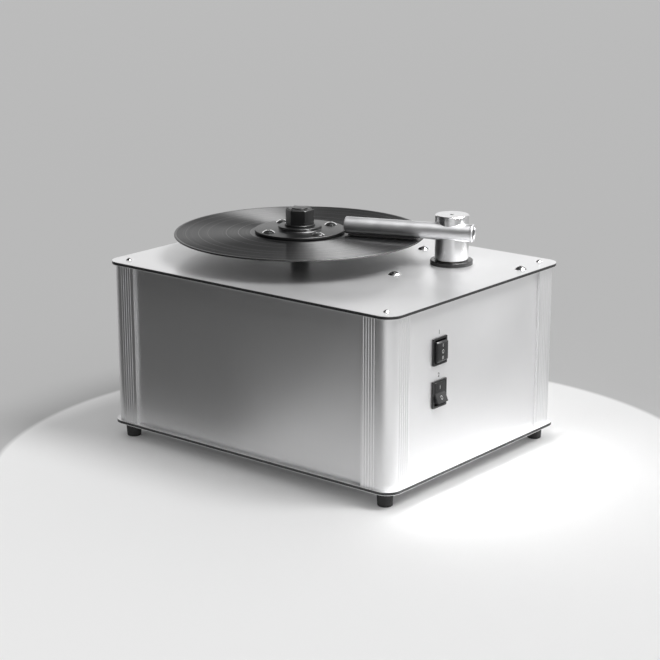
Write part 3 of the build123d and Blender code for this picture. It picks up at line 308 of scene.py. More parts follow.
@dataclass(frozen=True)
class TurnedMetal:
    """Metal turned on a lathe, with fine rings round an axis."""

    name: str
    colour: Triple
    rough: float
    rings: Triple = (40.0, 40.0, 4200.0)
    mottle: float = 0.03
    depth: float = 0.00002

    def material(self) -> bpy.types.Material:
        """Build the material.

        Returns:
            The new material.
        """
        s = Shading(self.name)
        rings = s.noise(s.stretched(self.rings), 1.0, 3.0, 0.6)
        smear = s.noise(s.place, 45.0, 3.0)
        s.feed("Base Color", s.blend(rings, tone(self.colour, 0.95), tone(self.colour, 1.03)))
        s.feed("Roughness", s.spread(smear, self.rough - self.mottle, self.rough + self.mottle))
        s.constant(Metallic=1.0)
        s.relief(rings, 0.05, self.depth)
        return s.material


@dataclass(frozen=True)
class MouldedPlastic:
    """Moulded plastic or paint with a fine stipple."""

    name: str
    colour: Triple
    rough: float
    stipple: float = 2200.0
    depth: float = 0.00003
    mottle: float = 0.05

    def material(self) -> bpy.types.Material:
        """Build the material.

        Returns:
            The new material.
        """
        s = Shading(self.name)
        grain = s.noise(s.place, self.stipple, 2.0)
        cloud = s.noise(s.place, 25.0, 3.0)
        s.feed("Base Color", s.blend(cloud, tone(self.colour, 0.88), tone(self.colour, 1.12)))
        s.feed("Roughness", s.spread(grain, self.rough - self.mottle, self.rough + self.mottle))
        s.constant(Metallic=0.0)
        s.relief(grain, 0.25, self.depth)
        return s.material


@dataclass(frozen=True)
class Rubber:
    """Matt black rubber with dust in its pores."""

    name: str
    colour: Triple
    depth: float = 0.00005

    def material(self) -> bpy.types.Material:
        """Build the material.

        Returns:
            The new material.
        """
        s = Shading(self.name)
        pores = s.noise(s.place, 1500.0, 3.0, 0.7)
        dust = s.spread(s.noise(s.place, 70.0, 4.0, 0.7), 0.0, 1.0, 0.45, 0.8)
        s.feed("Base Color", s.blend(dust, self.colour, tone(self.colour, 1.9)))
        s.feed("Roughness", s.spread(pores, 0.55, 0.75))
        s.relief(pores, 0.35, self.depth)
        return s.material


@dataclass(frozen=True)
class Vinyl:
    """Black record vinyl: bands of grooves between smooth gaps, lengths in metres."""

    name: str
    centre: Triple
    gaps: tuple[float, ...] = (0.0740, 0.0885, 0.1105, 0.1215, 0.1370)
    gap_half: float = 0.0003
    inner: float = 0.0600
    outer: float = 0.1478
    waves: Point = (0.0047, 0.00171)
    dark: Triple = (0.006, 0.006, 0.0065)
    pale: Triple = (0.011, 0.011, 0.012)
    smooth_rough: float = 0.36
    groove_rough: float = 0.60
    ring_rough: float = 0.02
    grain: float = 0.97

    def grooved(self, s: Shading, radius: Socket) -> Socket:
        """Where there are grooves.

        Args:
            s: The material under way.
            radius: Distance from the axis, in metres.

        Returns:
            1 in a band, 0 in the gaps and beyond the bands.
        """
        gap = None
        for place in self.gaps:
            near = s.reckon("COMPARE", radius, place)
            near.node.inputs[2].default_value = self.gap_half
            gap = near if gap is None else s.reckon("MAXIMUM", gap, near)
        inner = s.reckon("GREATER_THAN", radius, self.inner)
        outer = s.reckon("LESS_THAN", radius, self.outer)
        closed = s.reckon("SUBTRACT", s.reckon("MULTIPLY", inner, outer), gap)
        return s.reckon("MAXIMUM", closed, 0.0)

    def rings(self, s: Shading, radius: Socket) -> Socket:
        """Rings from loud and quiet music.

        Args:
            s: The material under way.
            radius: Distance from the axis, in metres.

        Returns:
            A value that is about 0 on average.
        """
        waves = [
            s.reckon("SINE", s.reckon("MULTIPLY", radius, 2 * math.pi / wave), 0.0)
            for wave in self.waves
        ]
        halves = [s.reckon("MULTIPLY", wave, 0.5) for wave in waves]
        uneven = s.noise(s.radius_line(self.centre), 260.0, 4.0, 0.75)
        return s.reckon("ADD", s.reckon("ADD", *halves), s.spread(uneven, -3.0, 3.0))

    def material(self) -> bpy.types.Material:
        """Build the material.

        Returns:
            The new material.
        """
        s = Shading(self.name)
        radius = s.radius(self.centre)
        grooved = self.grooved(s, radius)
        tint = s.noise(s.stretched((1, 1, 1), self.centre), 14.0, 2.0)
        s.feed("Base Color", s.blend(tint, self.dark, self.pale))
        base = s.spread(grooved, self.smooth_rough, self.groove_rough, 0.0, 1.0)
        rings = s.reckon("MULTIPLY", self.rings(s, radius), self.ring_rough)
        s.feed("Roughness", s.reckon("ADD", base, rings))
        s.feed("Anisotropic", s.spread(grooved, 0.0, self.grain, 0.0, 1.0))
        s.feed("Tangent", s.outwards(self.centre))
        s.constant(IOR=1.6, Specular_IOR_Level=0.33, Coat_Weight=0.08, Coat_Roughness=0.07)
        return s.material


@dataclass(frozen=True)
class Felt:
    """Short dark pile."""

    name: str
    colour: Triple
    depth: float = 0.0003

    def material(self) -> bpy.types.Material:
        """Build the material.

        Returns:
            The new material.
        """
        s = Shading(self.name)
        pile = s.noise(s.place, 2600.0, 5.0, 0.8)
        tufts = s.noise(s.place, 500.0, 3.0, 0.7)
        s.feed("Base Color", s.blend(pile, tone(self.colour, 0.5), tone(self.colour, 1.8)))
        s.constant(Roughness=0.95, Sheen_Weight=0.5, Sheen_Roughness=0.5)
        s.relief(s.reckon("ADD", pile, tufts), 0.9, self.depth)
        return s.material


@dataclass(frozen=True)
class CircuitBoard:
    """Green lacquer with tracks under it."""

    name: str
    colour: Triple
    depth: float = 0.00003

    def material(self) -> bpy.types.Material:
        """Build the material.

        Returns:
            The new material.
        """
        s = Shading(self.name)
        tracks = s.noise(s.stretched((1, 0.2, 1)), 160.0, 0.0)
        edges = s.spread(tracks, 0.0, 1.0, 0.48, 0.52)
        s.feed("Base Color", s.blend(edges, self.colour, tone(self.colour, 1.8)))
        s.feed("Roughness", s.spread(tracks, 0.25, 0.45))
        s.relief(tracks, 0.2, self.depth)
        return s.material


PANEL_GRAIN = (2600.0, 2600.0, 40.0)
PROFILE_GRAIN = (2600.0, 2600.0, 30.0)
DECK_GRAIN = (2600.0, 60.0, 60.0)
EVEN_GRAIN = (900.0, 900.0, 900.0)
FINISHES = {
    "plate_core": MouldedPlastic("black_plate_core", (0.018, 0.018, 0.019), 0.42),
    "plate_skin": AnodisedSheet("anodised_deck", (0.775, 0.775, 0.78), 0.33, DECK_GRAIN, 0.6),
    "profile": AnodisedSheet("anodised_extrusion", (0.80, 0.80, 0.805), 0.36, PROFILE_GRAIN),
    "panel": AnodisedSheet("anodised_panel", (0.75, 0.75, 0.755), 0.42, PANEL_GRAIN),
    "foot": Rubber("foot_rubber", (0.022, 0.022, 0.022)),
    "screw": TurnedMetal("polished_screw", (0.80, 0.80, 0.80), 0.14),
    "bearing": TurnedMetal("bearing_bronze", (0.72, 0.55, 0.28), 0.30),
    "steel": TurnedMetal("ground_steel", (0.62, 0.62, 0.63), 0.24),
    "hub": MouldedPlastic("black_hub", (0.022, 0.022, 0.023), 0.25),
    "mat": Rubber("mat_rubber", (0.025, 0.025, 0.026)),
    "record": Vinyl("record_vinyl", (0.0, 0.0515, 0.0)),
    "clamp": MouldedPlastic("black_clamp", (0.005, 0.005, 0.0055), 0.34, 1600.0, 0.00001),
    "clamp_screw": TurnedMetal("bright_screw", (0.86, 0.86, 0.86), 0.10),
    "ring": MouldedPlastic("black_ring", (0.012, 0.012, 0.012), 0.18, 1600.0, 0.00001),
    "post": TurnedMetal("satin_post", (0.74, 0.74, 0.745), 0.22),
    "tube": TurnedMetal("satin_chrome", (0.62, 0.62, 0.63), 0.37, EVEN_GRAIN),
    "black_plastic": MouldedPlastic("black_plastic", (0.02, 0.02, 0.02), 0.38),
    "felt": Felt("black_felt", (0.03, 0.03, 0.031)),
    "tank": MouldedPlastic("tank_plastic", (0.72, 0.72, 0.70), 0.40),
    "hose": Rubber("hose_rubber", (0.05, 0.05, 0.05)),
    "motor_case": MouldedPlastic("motor_paint", (0.10, 0.10, 0.11), 0.35, 900.0),
    "housing": MouldedPlastic("housing_plastic", (0.05, 0.05, 0.055), 0.45),
    "bracket": MouldedPlastic("bracket_paint", (0.42, 0.43, 0.44), 0.45, 900.0),
    "switch": MouldedPlastic("switch_plastic", (0.014, 0.014, 0.015), 0.30, 3000.0, 0.00001),
    "board": CircuitBoard("circuit_board", (0.02, 0.15, 0.06)),
    "mark_white": MouldedPlastic("mark_white", (0.82, 0.82, 0.82), 0.5),
    "mark_black": MouldedPlastic("mark_black", (0.02, 0.02, 0.02), 0.5),
}


@functools.cache
def material_of(look: str) -> bpy.types.Material:
    """The material of a slot of the record, or of a printed mark, built once."""
    return FINISHES[look].material()


# ------------------------------------------------------------------- modelling
def stand(name: str, data: bpy.types.ID) -> bpy.types.Object:
    """Put a new object into the scene.

    Args:
        name: Its name.
        data: Its mesh, lamp, lens or text.

    Returns:
        The object.
    """
    thing = bpy.data.objects.new(name, data)
    bpy.context.scene.collection.objects.link(thing)
    return thing


def verts_of(geometry: Iterable[object]) -> Verts:
    """Only the vertices of what an operator returns."""
    return [g for g in geometry if isinstance(g, bmesh.types.BMVert)]


def arc(centre: Point, radius: float, start: float, end: float, steps: int) -> list[Point]:
    """Points on an arc of a circle, angles in degrees."""
    turns = [math.radians(start + (end - start) * i / steps) for i in range(steps + 1)]
    return [(centre[0] + radius * math.cos(t), centre[1] + radius * math.sin(t)) for t in turns]


class Workpiece:
    """A mesh under construction, in millimetres."""

    def __init__(self) -> None:
        """Start with an empty mesh."""
        self.bm = bmesh.new()

    def fresh(self, before: set[bmesh.types.BMVert]) -> Verts:
        """The vertices made since a snapshot."""
        return [v for v in self.bm.verts if v not in before]

    def between(self, verts: Verts) -> list[bmesh.types.BMEdge]:
        """The edges that join two of some vertices."""
        chosen = set(verts)
        return [e for e in self.bm.edges if e.verts[0] in chosen and e.verts[1] in chosen]

    def turn(
        self, outline: Sequence[Point], centre: Sequence[float], steps: int = 96, ring: bool = True,
    ) -> Verts:
        """Spin an outline of (radius, height) points about the upright through a centre.

        Args:
            outline: The points in order.
            centre: The axis and the height's zero.
            steps: Divisions of the full turn.
            ring: Whether the outline closes on itself.

        Returns:
            The new vertices.
        """
        before = set(self.bm.verts)
        cx, cy, cz = centre
        row = [self.bm.verts.new((cx + r, cy, cz + z)) for r, z in outline]
        pairs = list(zip(row, row[1:]))
        if ring:
            pairs.append((row[-1], row[0]))
        edges = [self.bm.edges.new(p) for p in pairs]
        bmesh.ops.spin(
            self.bm, geom=row + edges, cent=(cx, cy, cz), axis=(0, 0, 1), dvec=(0, 0, 0),
            angle=2 * math.pi, steps=steps, use_merge=True, use_normal_flip=False,
            use_duplicate=False,
        )
        bmesh.ops.remove_doubles(self.bm, verts=self.fresh(before), dist=1e-4)
        return self.fresh(before)

    def block(
        self, low: Sequence[float], high: Sequence[float], edge: float, segments: int,
    ) -> Verts:
        """A block between two corners with rounded edges.

        Args:
            low: Lowest corner.
            high: Highest corner.
            edge: Radius of its edges.
            segments: Steps of each rounded edge.

        Returns:
            The new vertices.
        """
        before = set(self.bm.verts)
        bmesh.ops.create_cube(self.bm, size=1.0)
        made = self.fresh(before)
        size = [h - l for l, h in zip(low, high)]
        middle = [(h + l) / 2 for l, h in zip(low, high)]
        bmesh.ops.scale(self.bm, vec=size, verts=made)
        bmesh.ops.translate(self.bm, vec=middle, verts=made)
        self.rounded({e for v in made for e in v.link_edges}, edge, segments)
        return self.fresh(before)

    def rounded(self, edges: Iterable[bmesh.types.BMEdge], radius: float, segments: int) -> None:
        """Round some edges."""
        bmesh.ops.bevel(
            self.bm, geom=list(edges), offset=radius, segments=segments, profile=0.5,
            affect="EDGES", material=-1,
        )

    def moved(self, matrix: Matrix, verts: Verts | None = None) -> None:
        """Place some vertices, or else all of them, by a matrix."""
        bmesh.ops.transform(self.bm, matrix=matrix, verts=verts or list(self.bm.verts))

    def finish(
        self, name: str, body: Body, slot: str, replaced: Sequence[str] = (),
        smooth: float = 32.0, edge: float = 0.0, look: str = "",
    ) -> bpy.types.Object:
        """Turn the mesh into a piece that rides on its body.

        Args:
            name: The piece's name.
            body: What it moves with.
            slot: The record's material slot.
            replaced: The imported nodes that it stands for.
            smooth: Edges sharper than this angle in degrees stay crisp.
            edge: Radius in millimetres of a last rounding of the crisp edges.
            look: Its finish, where that isn't the slot's.

        Returns:
            The piece.
        """
        bmesh.ops.recalc_face_normals(self.bm, faces=self.bm.faces)
        bmesh.ops.scale(self.bm, vec=(MM, MM, MM), verts=self.bm.verts)
        mesh = bpy.data.meshes.new(name)
        self.bm.to_mesh(mesh)
        self.bm.free()
        return dress(mesh, name, body, slot, replaced, smooth, edge, look)


def dress(
    mesh: bpy.types.Mesh, name: str, body: Body, slot: str, replaced: Sequence[str] = (),
    smooth: float = 32.0, edge: float = 0.0, look: str = "",
) -> bpy.types.Object:
    """Make a piece of a finished mesh.

    Args:
        mesh: The mesh, in metres.
        name: The piece's name.
        body: What it moves with.
        slot: The record's material slot.
        replaced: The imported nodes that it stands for.
        smooth: Edges sharper than this angle in degrees stay crisp.
        edge: Radius in millimetres of a last rounding of the crisp edges.
        look: Its finish, where that isn't the slot's.

    Returns:
        The piece.
    """
    mesh.shade_smooth()
    mesh.set_sharp_from_angle(angle=math.radians(smooth))
    mesh.materials.clear()
    mesh.materials.append(material_of(look or slot))
    piece = stand(name, mesh)
    if edge:
        rounding = piece.modifiers.new("rounding", "BEVEL")
        rounding.width = edge * MM
        rounding.segments = 2
        rounding.limit_method = "ANGLE"
        rounding.angle_limit = math.radians(smooth)
        rounding.harden_normals = True
    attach(piece, body.value)
    if replaced:
        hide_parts(*replaced)
    LOG.info("%s rides on %s, %d faces", name, body.value, len(mesh.polygons))
    return piece


def refined(node: str, body: Body, slot: str, smooth: float = 30.0) -> bpy.types.Object:
    """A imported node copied, merged and shaded so that its curved faces read as curves.

    Args:
        node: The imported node.
        body: What it moves with.
        slot: The record's material slot.
        smooth: Edges sharper than this angle in degrees stay crisp.

    Returns:
        The piece that stands for the node.
    """
    bm = bmesh.new()
    bm.from_mesh(frame["nodes"][node].data)
    bmesh.ops.remove_doubles(bm, verts=bm.verts, dist=2e-7)
    bmesh.ops.dissolve_limit(bm, angle_limit=math.radians(0.4), verts=bm.verts, edges=bm.edges)
    mesh = bpy.data.meshes.new(node + "_shell")
    bm.to_mesh(mesh)
    bm.free()
    piece = dress(mesh, node + "_shell", body, slot, (node,), smooth)
    weighted = piece.modifiers.new("flat_faces_stay_flat", "WEIGHTED_NORMAL")
    weighted.keep_sharp = True
    return piece


# -------------------------------------------------------------- sub-assemblies
@dataclass(frozen=True)
class Fastener:
    """A domed screw with a hexagon socket; it stands on the height called seat."""

    head: float
    height: float
    key: float
    shank: float
    length: float
    socket: float = 1.4
    steps: int = 48
    rim: float = 0.25
    dome_steps: int = 8

    def outline(self) -> list[Point]:
        """Half of its section.

        Returns:
            (radius, height) points from the socket's mouth over the dome to the shank's end.
        """
        dome = (self.head ** 2 + self.height ** 2) / (2 * self.height)
        mouth = self.key / 2 / math.cos(math.radians(30)) + self.rim
        start = math.asin(mouth / dome)
        end = math.asin(min(1.0, self.head / dome))
        points = [(self.key / 2, self.height - mouth ** 2 / (2 * dome) - 0.15)]
        for i in range(self.dome_steps + 1):
            angle = start + (end - start) * i / self.dome_steps
            points.append((dome * math.sin(angle), self.height - dome * (1 - math.cos(angle))))
        points[-1] = (self.head, self.rim)
        return points + [(self.head - 0.2, 0.0), (self.shank, 0.0), (self.shank, -self.length)]

    def add(self, work: Workpiece, x: float, y: float, seat: float) -> None:
        """Add the screw to a mesh.

        Args:
            work: The mesh.
            x: Place of its axis.
            y: Place of its axis.
            seat: Height of the face that the head rests on.
        """
        made = work.turn(self.outline(), (x, y, seat), self.steps, ring=False)
        mouth = [
            v for v in made
            if abs(math.hypot(v.co.x - x, v.co.y - y) - self.key / 2) < 1e-3 and v.co.z > seat + 0.1
        ]
        for vertex in mouth:
            angle = math.degrees(math.atan2(vertex.co.y - y, vertex.co.x - x))
            stretch = 1 / math.cos(math.radians((angle + 30) % 60 - 30))
            vertex.co.x = x + (vertex.co.x - x) * stretch
            vertex.co.y = y + (vertex.co.y - y) * stretch
        deeper = bmesh.ops.extrude_edge_only(work.bm, edges=work.between(mouth))["geom"]
        bmesh.ops.translate(work.bm, vec=(0, 0, -self.socket), verts=verts_of(deeper))
        floor = [g for g in deeper if isinstance(g, bmesh.types.BMEdge)]
        bmesh.ops.edgeloop_fill(work.bm, edges=floor)
        foot = [v for v in made if abs(v.co.z - (seat - self.length)) < 1e-3]
        bmesh.ops.edgeloop_fill(work.bm, edges=work.between(foot))


@dataclass
class Cabinet:
    """Plates, corner profiles, feet and the screws of the deck."""

    deck_z: float = 219.0
    foot_height: float = 18.0
    foot_top: float = 9.7
    foot_base: float = 8.5
    foot_bore: float = 2.2
    foot_recess: Point = (5.4, 8.0)
    port_x: float = 148.8
    port_y: float = 192.8
    tank_places: tuple[Point, ...] = ((-9.4, -97.9), (117.9, -46.0), (104.3, -196.5))
    drive_centre: Point = (0.0, 51.5)
    drive_radius: float = 50.0
    drive_angles: Triple = (-35.0, 55.0, 145.0)
    small: Fastener = Fastener(3.8, 2.3, 2.5, 2.0, 20.0, 1.3, 36)
    large: Fastener = Fastener(7.3, 3.6, 4.0, 3.0, 18.0, 1.8, 60)

    def build(self) -> None:
        """Build and dress the cabinet."""
        for slot, part in (("plate_core", "core"), ("plate_skin", "skins")):
            for plate in ("top", "bottom"):
                refined(f"{plate}_plate_{part}", Body.CABINET, slot)
        for corner in ("front_left", "front_right", "rear_right", "rear_left"):
            refined("corner_profile_" + corner, Body.CABINET, "profile")
        self.feet()
        self.screws()

    def corners(self) -> list[tuple[str, float, float]]:
        """The four places where feet and corner screws stand.

        Returns:
            The name and the place of each.
        """
        return [
            (f"{end}_{side}", x, y)
            for end, y in (("front", -self.port_y), ("rear", self.port_y))
            for side, x in (("left", -self.port_x), ("right", self.port_x))
        ]

    def feet(self) -> None:
        """Turn the four feet with rounded edges."""
        recess, depth = self.foot_recess
        outline = [(self.foot_bore, depth), (recess, depth)]
        outline += arc((recess + 0.4, 0.4), 0.4, 180, 270, 3)
        outline += arc((self.foot_base - 1.2, 1.2), 1.2, 270, 358, 6)
        outline += [(self.foot_top - 0.15, self.foot_height - 0.8)]
        outline += [(self.foot_top - 0.5, self.foot_height), (self.foot_bore, self.foot_height)]
        for name, x, y in self.corners():
            work = Workpiece()
            work.turn(outline, (x, y, 0), 64)
            work.finish("rubber_foot_" + name, Body.CABINET, "foot", ("foot_" + name,), smooth=40)

    def screws(self) -> None:
        """Make the domed screws that show in the deck."""
        x, y = self.drive_centre
        turns = [math.radians(a) for a in self.drive_angles]
        reach = self.drive_radius
        drive = [(x + reach * math.cos(t), y + reach * math.sin(t)) for t in turns]
        rows = (
            ("deck_corner_screws", "corner_screws", self.small, [c[1:] for c in self.corners()]),
            ("tank_dome_screws", "tank_screws", self.large, self.tank_places),
            ("drive_dome_screws", "bracket_screws", self.small, drive),
        )
        for name, node, screw, places in rows:
            work = Workpiece()
            for place in places:
                screw.add(work, *place, self.deck_z)
            work.finish(name, Body.CABINET, "screw", (node,), smooth=40)


@dataclass
class Turntable:
    """Hub, record, clamp disc with its screws, and the six-sided knob."""

    x: float = 0.0
    y: float = 51.5
    record_z: float = 247.8
    record_thick: float = 2.4
    mat_thick: float = 1.5
    deck_z: float = 219.0
    record_radius: float = 150.8
    hub_radius: float = 50.0
    hub_neck: float = 11.25
    hub_bore: float = 6.02
    hub_plate: float = 5.0
    clamp_rise: float = 0.6
    clamp_radius: float = 54.2
    clamp_bore: float = 3.54
    boss_radius: float = 26.0
    boss_height: float = 7.2
    screw_ring: float = 43.0
    screw_turn: float = 160.0
    screw_seat: float = 3.0
    screw: Fastener = Fastener(7.6, 3.2, 4.0, 2.5, 3.0, 1.5, 60)
    knob_flats: float = 30.0
    knob_turn: float = 31.3
    knob_height: float = 16.9
    knob_chamfer: float = 1.5
    flange_height: float = 2.2

    def build(self) -> None:
        """Build and dress the turntable."""
        self.hub()
        self.record()
        self.clamp()
        self.knob()

    def centre(self, z: float) -> Triple:
        """A point on the axis."""
        return (self.x, self.y, z)

    def hub(self) -> None:
        """Turn the hub with its softened rims."""
        top = self.record_z - self.record_thick - self.mat_thick - self.deck_z
        under = top - self.hub_plate
        soft = 0.5
        rim = self.hub_radius - soft
        outline = [(self.hub_bore, 1.0), (self.hub_neck - 0.3, 1.0), (self.hub_neck, 1.3)]
        outline += [(self.hub_neck, under), (rim, under)]
        outline += arc((rim, under + soft), soft, 270, 360, 3)
        outline += arc((rim, top - soft), soft, 0, 90, 3)
        outline += [(self.hub_bore, top)]
        work = Workpiece()
        work.turn(outline, self.centre(self.deck_z), 128)
        work.finish("turntable_hub", Body.SPINDLE, "hub", ("hub",))

    def record(self) -> None:
        """Turn the record with its label rise, grooved area and rounded rim."""
        bead = 1.05
        outline = [(3.62, -0.15), (3.8, 0.0), (49.2, 0.0), (50.2, -0.05), (51.5, -0.2)]
        outline += [(60.0, -0.2), (60.4, -0.23), (100.0, -0.23), (147.4, -0.23)]
        outline += [(148.3, -0.12), (149.2, 0.0)]
        outline += arc((self.record_radius - bead, -bead), bead, 85, -85, 10)
        outline += [(149.2, -2.1), (148.3, -1.98), (147.4, -1.88), (60.0, -1.9), (51.5, -2.2)]
        outline += [(50.0, -self.record_thick), (3.62, -self.record_thick)]
        work = Workpiece()
        work.turn(outline, self.centre(self.record_z), 256)
        work.finish("vinyl_record", Body.SPINDLE, "record", ("record",), smooth=25)

    def clamp(self) -> None:
        """Turn the clamp disc with its raised boss, and set its four screws."""
        base = self.record_z + self.clamp_rise
        r, b = self.clamp_radius, self.boss_radius
        outline = [(self.clamp_bore, 0.0), (r - 0.3, 0.0), (r, 0.3)]
        outline += arc((r - 0.7, 2.3), 0.7, 0, 90, 5)
        outline += arc((b + 1.6, 4.6), 1.6, 270, 180, 6)
        outline += arc((b - 0.8, self.boss_height - 0.8), 0.8, 0, 90, 5)
        outline += [(self.clamp_bore, self.boss_height)]
        work = Workpiece()
        work.turn(outline, self.centre(base), 160)
        work.finish("clamp_plate_disc", Body.CLAMP_PLATE, "clamp", ("clamp_disc",))
        work = Workpiece()
        for i in range(4):
            angle = math.radians(self.screw_turn + 90.0 * i)
            x = self.x + self.screw_ring * math.cos(angle)
            y = self.y + self.screw_ring * math.sin(angle)
            self.screw.add(work, x, y, base + self.screw_seat)
        work.finish(
            "clamp_dome_screws", Body.CLAMP_PLATE, "clamp_screw", ("clamp_screws",), smooth=40,
        )

    def knob(self) -> None:
        """Make the six-sided knob: hexagon, flange below it and cap on it."""
        base = self.record_z + self.clamp_rise + self.boss_height
        corner = self.knob_flats / 2 / math.cos(math.radians(30))
        work = Workpiece()
        bmesh.ops.create_circle(work.bm, cap_ends=True, segments=6, radius=corner)
        top = bmesh.ops.extrude_face_region(work.bm, geom=list(work.bm.faces))["geom"]
        bmesh.ops.translate(work.bm, vec=(0, 0, self.knob_height), verts=verts_of(top))
        upright = [e for e in work.bm.edges if abs(e.verts[0].co.z - e.verts[1].co.z) > 1]
        work.rounded(upright, 0.7, 4)
        lid = max(work.bm.faces, key=lambda f: f.calc_center_median().z)
        chamfer = self.knob_chamfer
        bmesh.ops.inset_region(
            work.bm, faces=[lid], thickness=chamfer, depth=0.0, use_even_offset=True,
        )
        bmesh.ops.translate(work.bm, vec=(0, 0, chamfer), verts=list(lid.verts))
        turn = Matrix.Rotation(math.radians(self.knob_turn), 4, "Z")
        work.moved(Matrix.Translation(self.centre(base + self.flange_height)) @ turn)
        flange = [(0.0, 0.0), (18.0, 0.0), (18.3, 0.3)]
        flange += arc((17.7, self.flange_height - 0.6), 0.6, 0, 90, 4) + [(0.0, self.flange_height)]
        work.turn(flange, self.centre(base), 96, ring=False)
        cap = [(0.0, 0.0), (9.4, 0.0)] + arc((9.0, 0.6), 0.4, 0, 90, 4) + [(0.0, 1.0)]
        lid_z = base + self.flange_height + self.knob_height + chamfer
        work.turn(cap, self.centre(lid_z), 64, ring=False)
        work.finish(
            "hexagon_knob", Body.CLAMP_KNOB, "clamp", ("clamp_knob",), smooth=28, edge=0.25,
        )


@dataclass
class SuctionArm:
    """Ring, post, tube with its cap and rim, and the felt beside the slot."""

    post_x: float = 77.1
    post_y: float = -116.9
    deck_z: float = 219.0
    tube_z: float = 259.8
    record_y: float = 51.5
    offset: float = 13.0
    radius: float = 10.0
    bore: float = 8.5
    tail_bore: float = 7.0
    tip: float = 59.5
    slot: Point = (62.0, 146.0)
    slot_half: float = 1.3
    flat: float = 9.4
    felt_depth: float = 2.25
    felt_half: float = 1.45
    felt_side: float = 3.0

    def build(self) -> None:
        """Build and dress the arm."""
        refined("arm_post", Body.ARM, "post")
        self.tube()
        self.ring()
        self.tip_cap()
        self.felt()

    def along(self) -> Matrix:
        """Where the tube lies.

        Returns:
            Matrix from (side, up, distance along the tube) to the row frame.
        """
        reach = math.hypot(self.post_x, self.post_y - self.record_y)
        heading = math.atan2(self.post_y - self.record_y, self.post_x)
        angle = heading - math.asin(self.offset / reach)
        c, s = math.cos(angle), math.sin(angle)
        turn = Matrix(((-s, 0, c, 0), (c, 0, s, 0), (0, 1, 0, 0), (0, 0, 0, 1)))
        return Matrix.Translation((0, self.record_y, self.tube_z)) @ turn

    def tube(self) -> None:
        """Turn the tube with its rim, flatten its underside and open the slot."""
        low, high = self.slot
        r, bore, tail = self.radius, self.bore, self.tail_bore
        outline = [(bore, self.tip), (r, self.tip), (r, low - 0.1), (r, low), (r, high)]
        outline += [(r, high + 0.1), (r, 211.4)]
        outline += arc((r + 0.3, 211.7), 0.3, 270, 360, 3) + arc((r, 213.8), 0.6, 0, 90, 4)
        outline += [(tail + 0.3, 214.4), (tail, 214.1), (tail, 208.0)]
        outline += [(bore, 206.5), (bore, high), (bore, low)]
        work = Workpiece()
        work.turn(outline, (0, 0, 0), 96)
        for vertex in work.bm.verts:
            if vertex.co.y < -self.flat and low - 0.01 < vertex.co.z < high + 0.01:
                vertex.co.y = -self.flat
        opening = []
        for face in work.bm.faces:
            x, y, z = face.calc_center_median()
            if low < z < high and y < 0 and abs(x) < self.slot_half:
                opening.append(face)
        bmesh.ops.delete(work.bm, geom=opening, context="FACES")
        bmesh.ops.bridge_loops(work.bm, edges=[e for e in work.bm.edges if e.is_boundary])
        work.moved(self.along())
        work.finish("suction_tube", Body.ARM, "tube", ("arm_tube",), smooth=35)

    def ring(self) -> None:
        """Turn the black ring on the deck."""
        bore, height = 17.02, 5.2
        outline = [(bore, 0.0), (25.3, 0.0)] + arc((24.5, height - 0.8), 0.8, 0, 90, 5)
        outline += [(20.5, height), (19.8, 4.6), (18.2, 4.6), (17.9, height), (bore, height)]
        work = Workpiece()
        work.turn(outline, (self.post_x, self.post_y, self.deck_z), 128)
        work.finish("deck_ring", Body.CABINET, "ring", ("arm_base_ring",))

    def tip_cap(self) -> None:
        """Turn the bright rounded cap at the tip."""
        r, plug, thick = self.radius, self.bore - 0.02, 1.6
        outline = [(0.0, -thick), (r - thick, -thick)] + arc((r - 1.2, -0.4), 1.2, 270, 360, 6)
        outline += [(r, 0.0), (plug, 0.0), (plug, thick), (0.0, thick)]
        work = Workpiece()
        work.turn(outline, (0, 0, 0), 96, ring=False)
        work.moved(self.along() @ Matrix.Translation((0, 0, self.tip)))
        work.finish("tube_tip_cap", Body.ARM, "tube", ("arm_tip_cap",))

    def felt(self) -> None:
        """Two soft strips, a little uneven, beside the suction slot."""
        low, high = self.slot
        work = Workpiece()
        for middle in (-self.felt_side, self.felt_side):
            near = (middle - self.felt_half, -self.flat - self.felt_depth, low)
            far = (middle + self.felt_half, -self.flat, high)
            made = work.block(near, far, 0.7, 4)
            edges = {e for v in made for e in v.link_edges}
            runs = [e for e in edges if abs(e.verts[0].co.z - e.verts[1].co.z) > 20]
            bmesh.ops.subdivide_edges(work.bm, edges=runs, cuts=40, use_grid_fill=True)
        for vertex in work.bm.verts:
            if vertex.co.y < -10.2:
                z = vertex.co.z
                vertex.co.y += 0.06 * math.sin(z * 1.9) * math.sin(z * 0.37 + vertex.co.x)
                vertex.co.x += 0.05 * math.sin(z * 1.3 + 2.0)
        work.moved(self.along())
        work.finish("felt_pads", Body.ARM, "felt", ("felt_strips",), smooth=60)


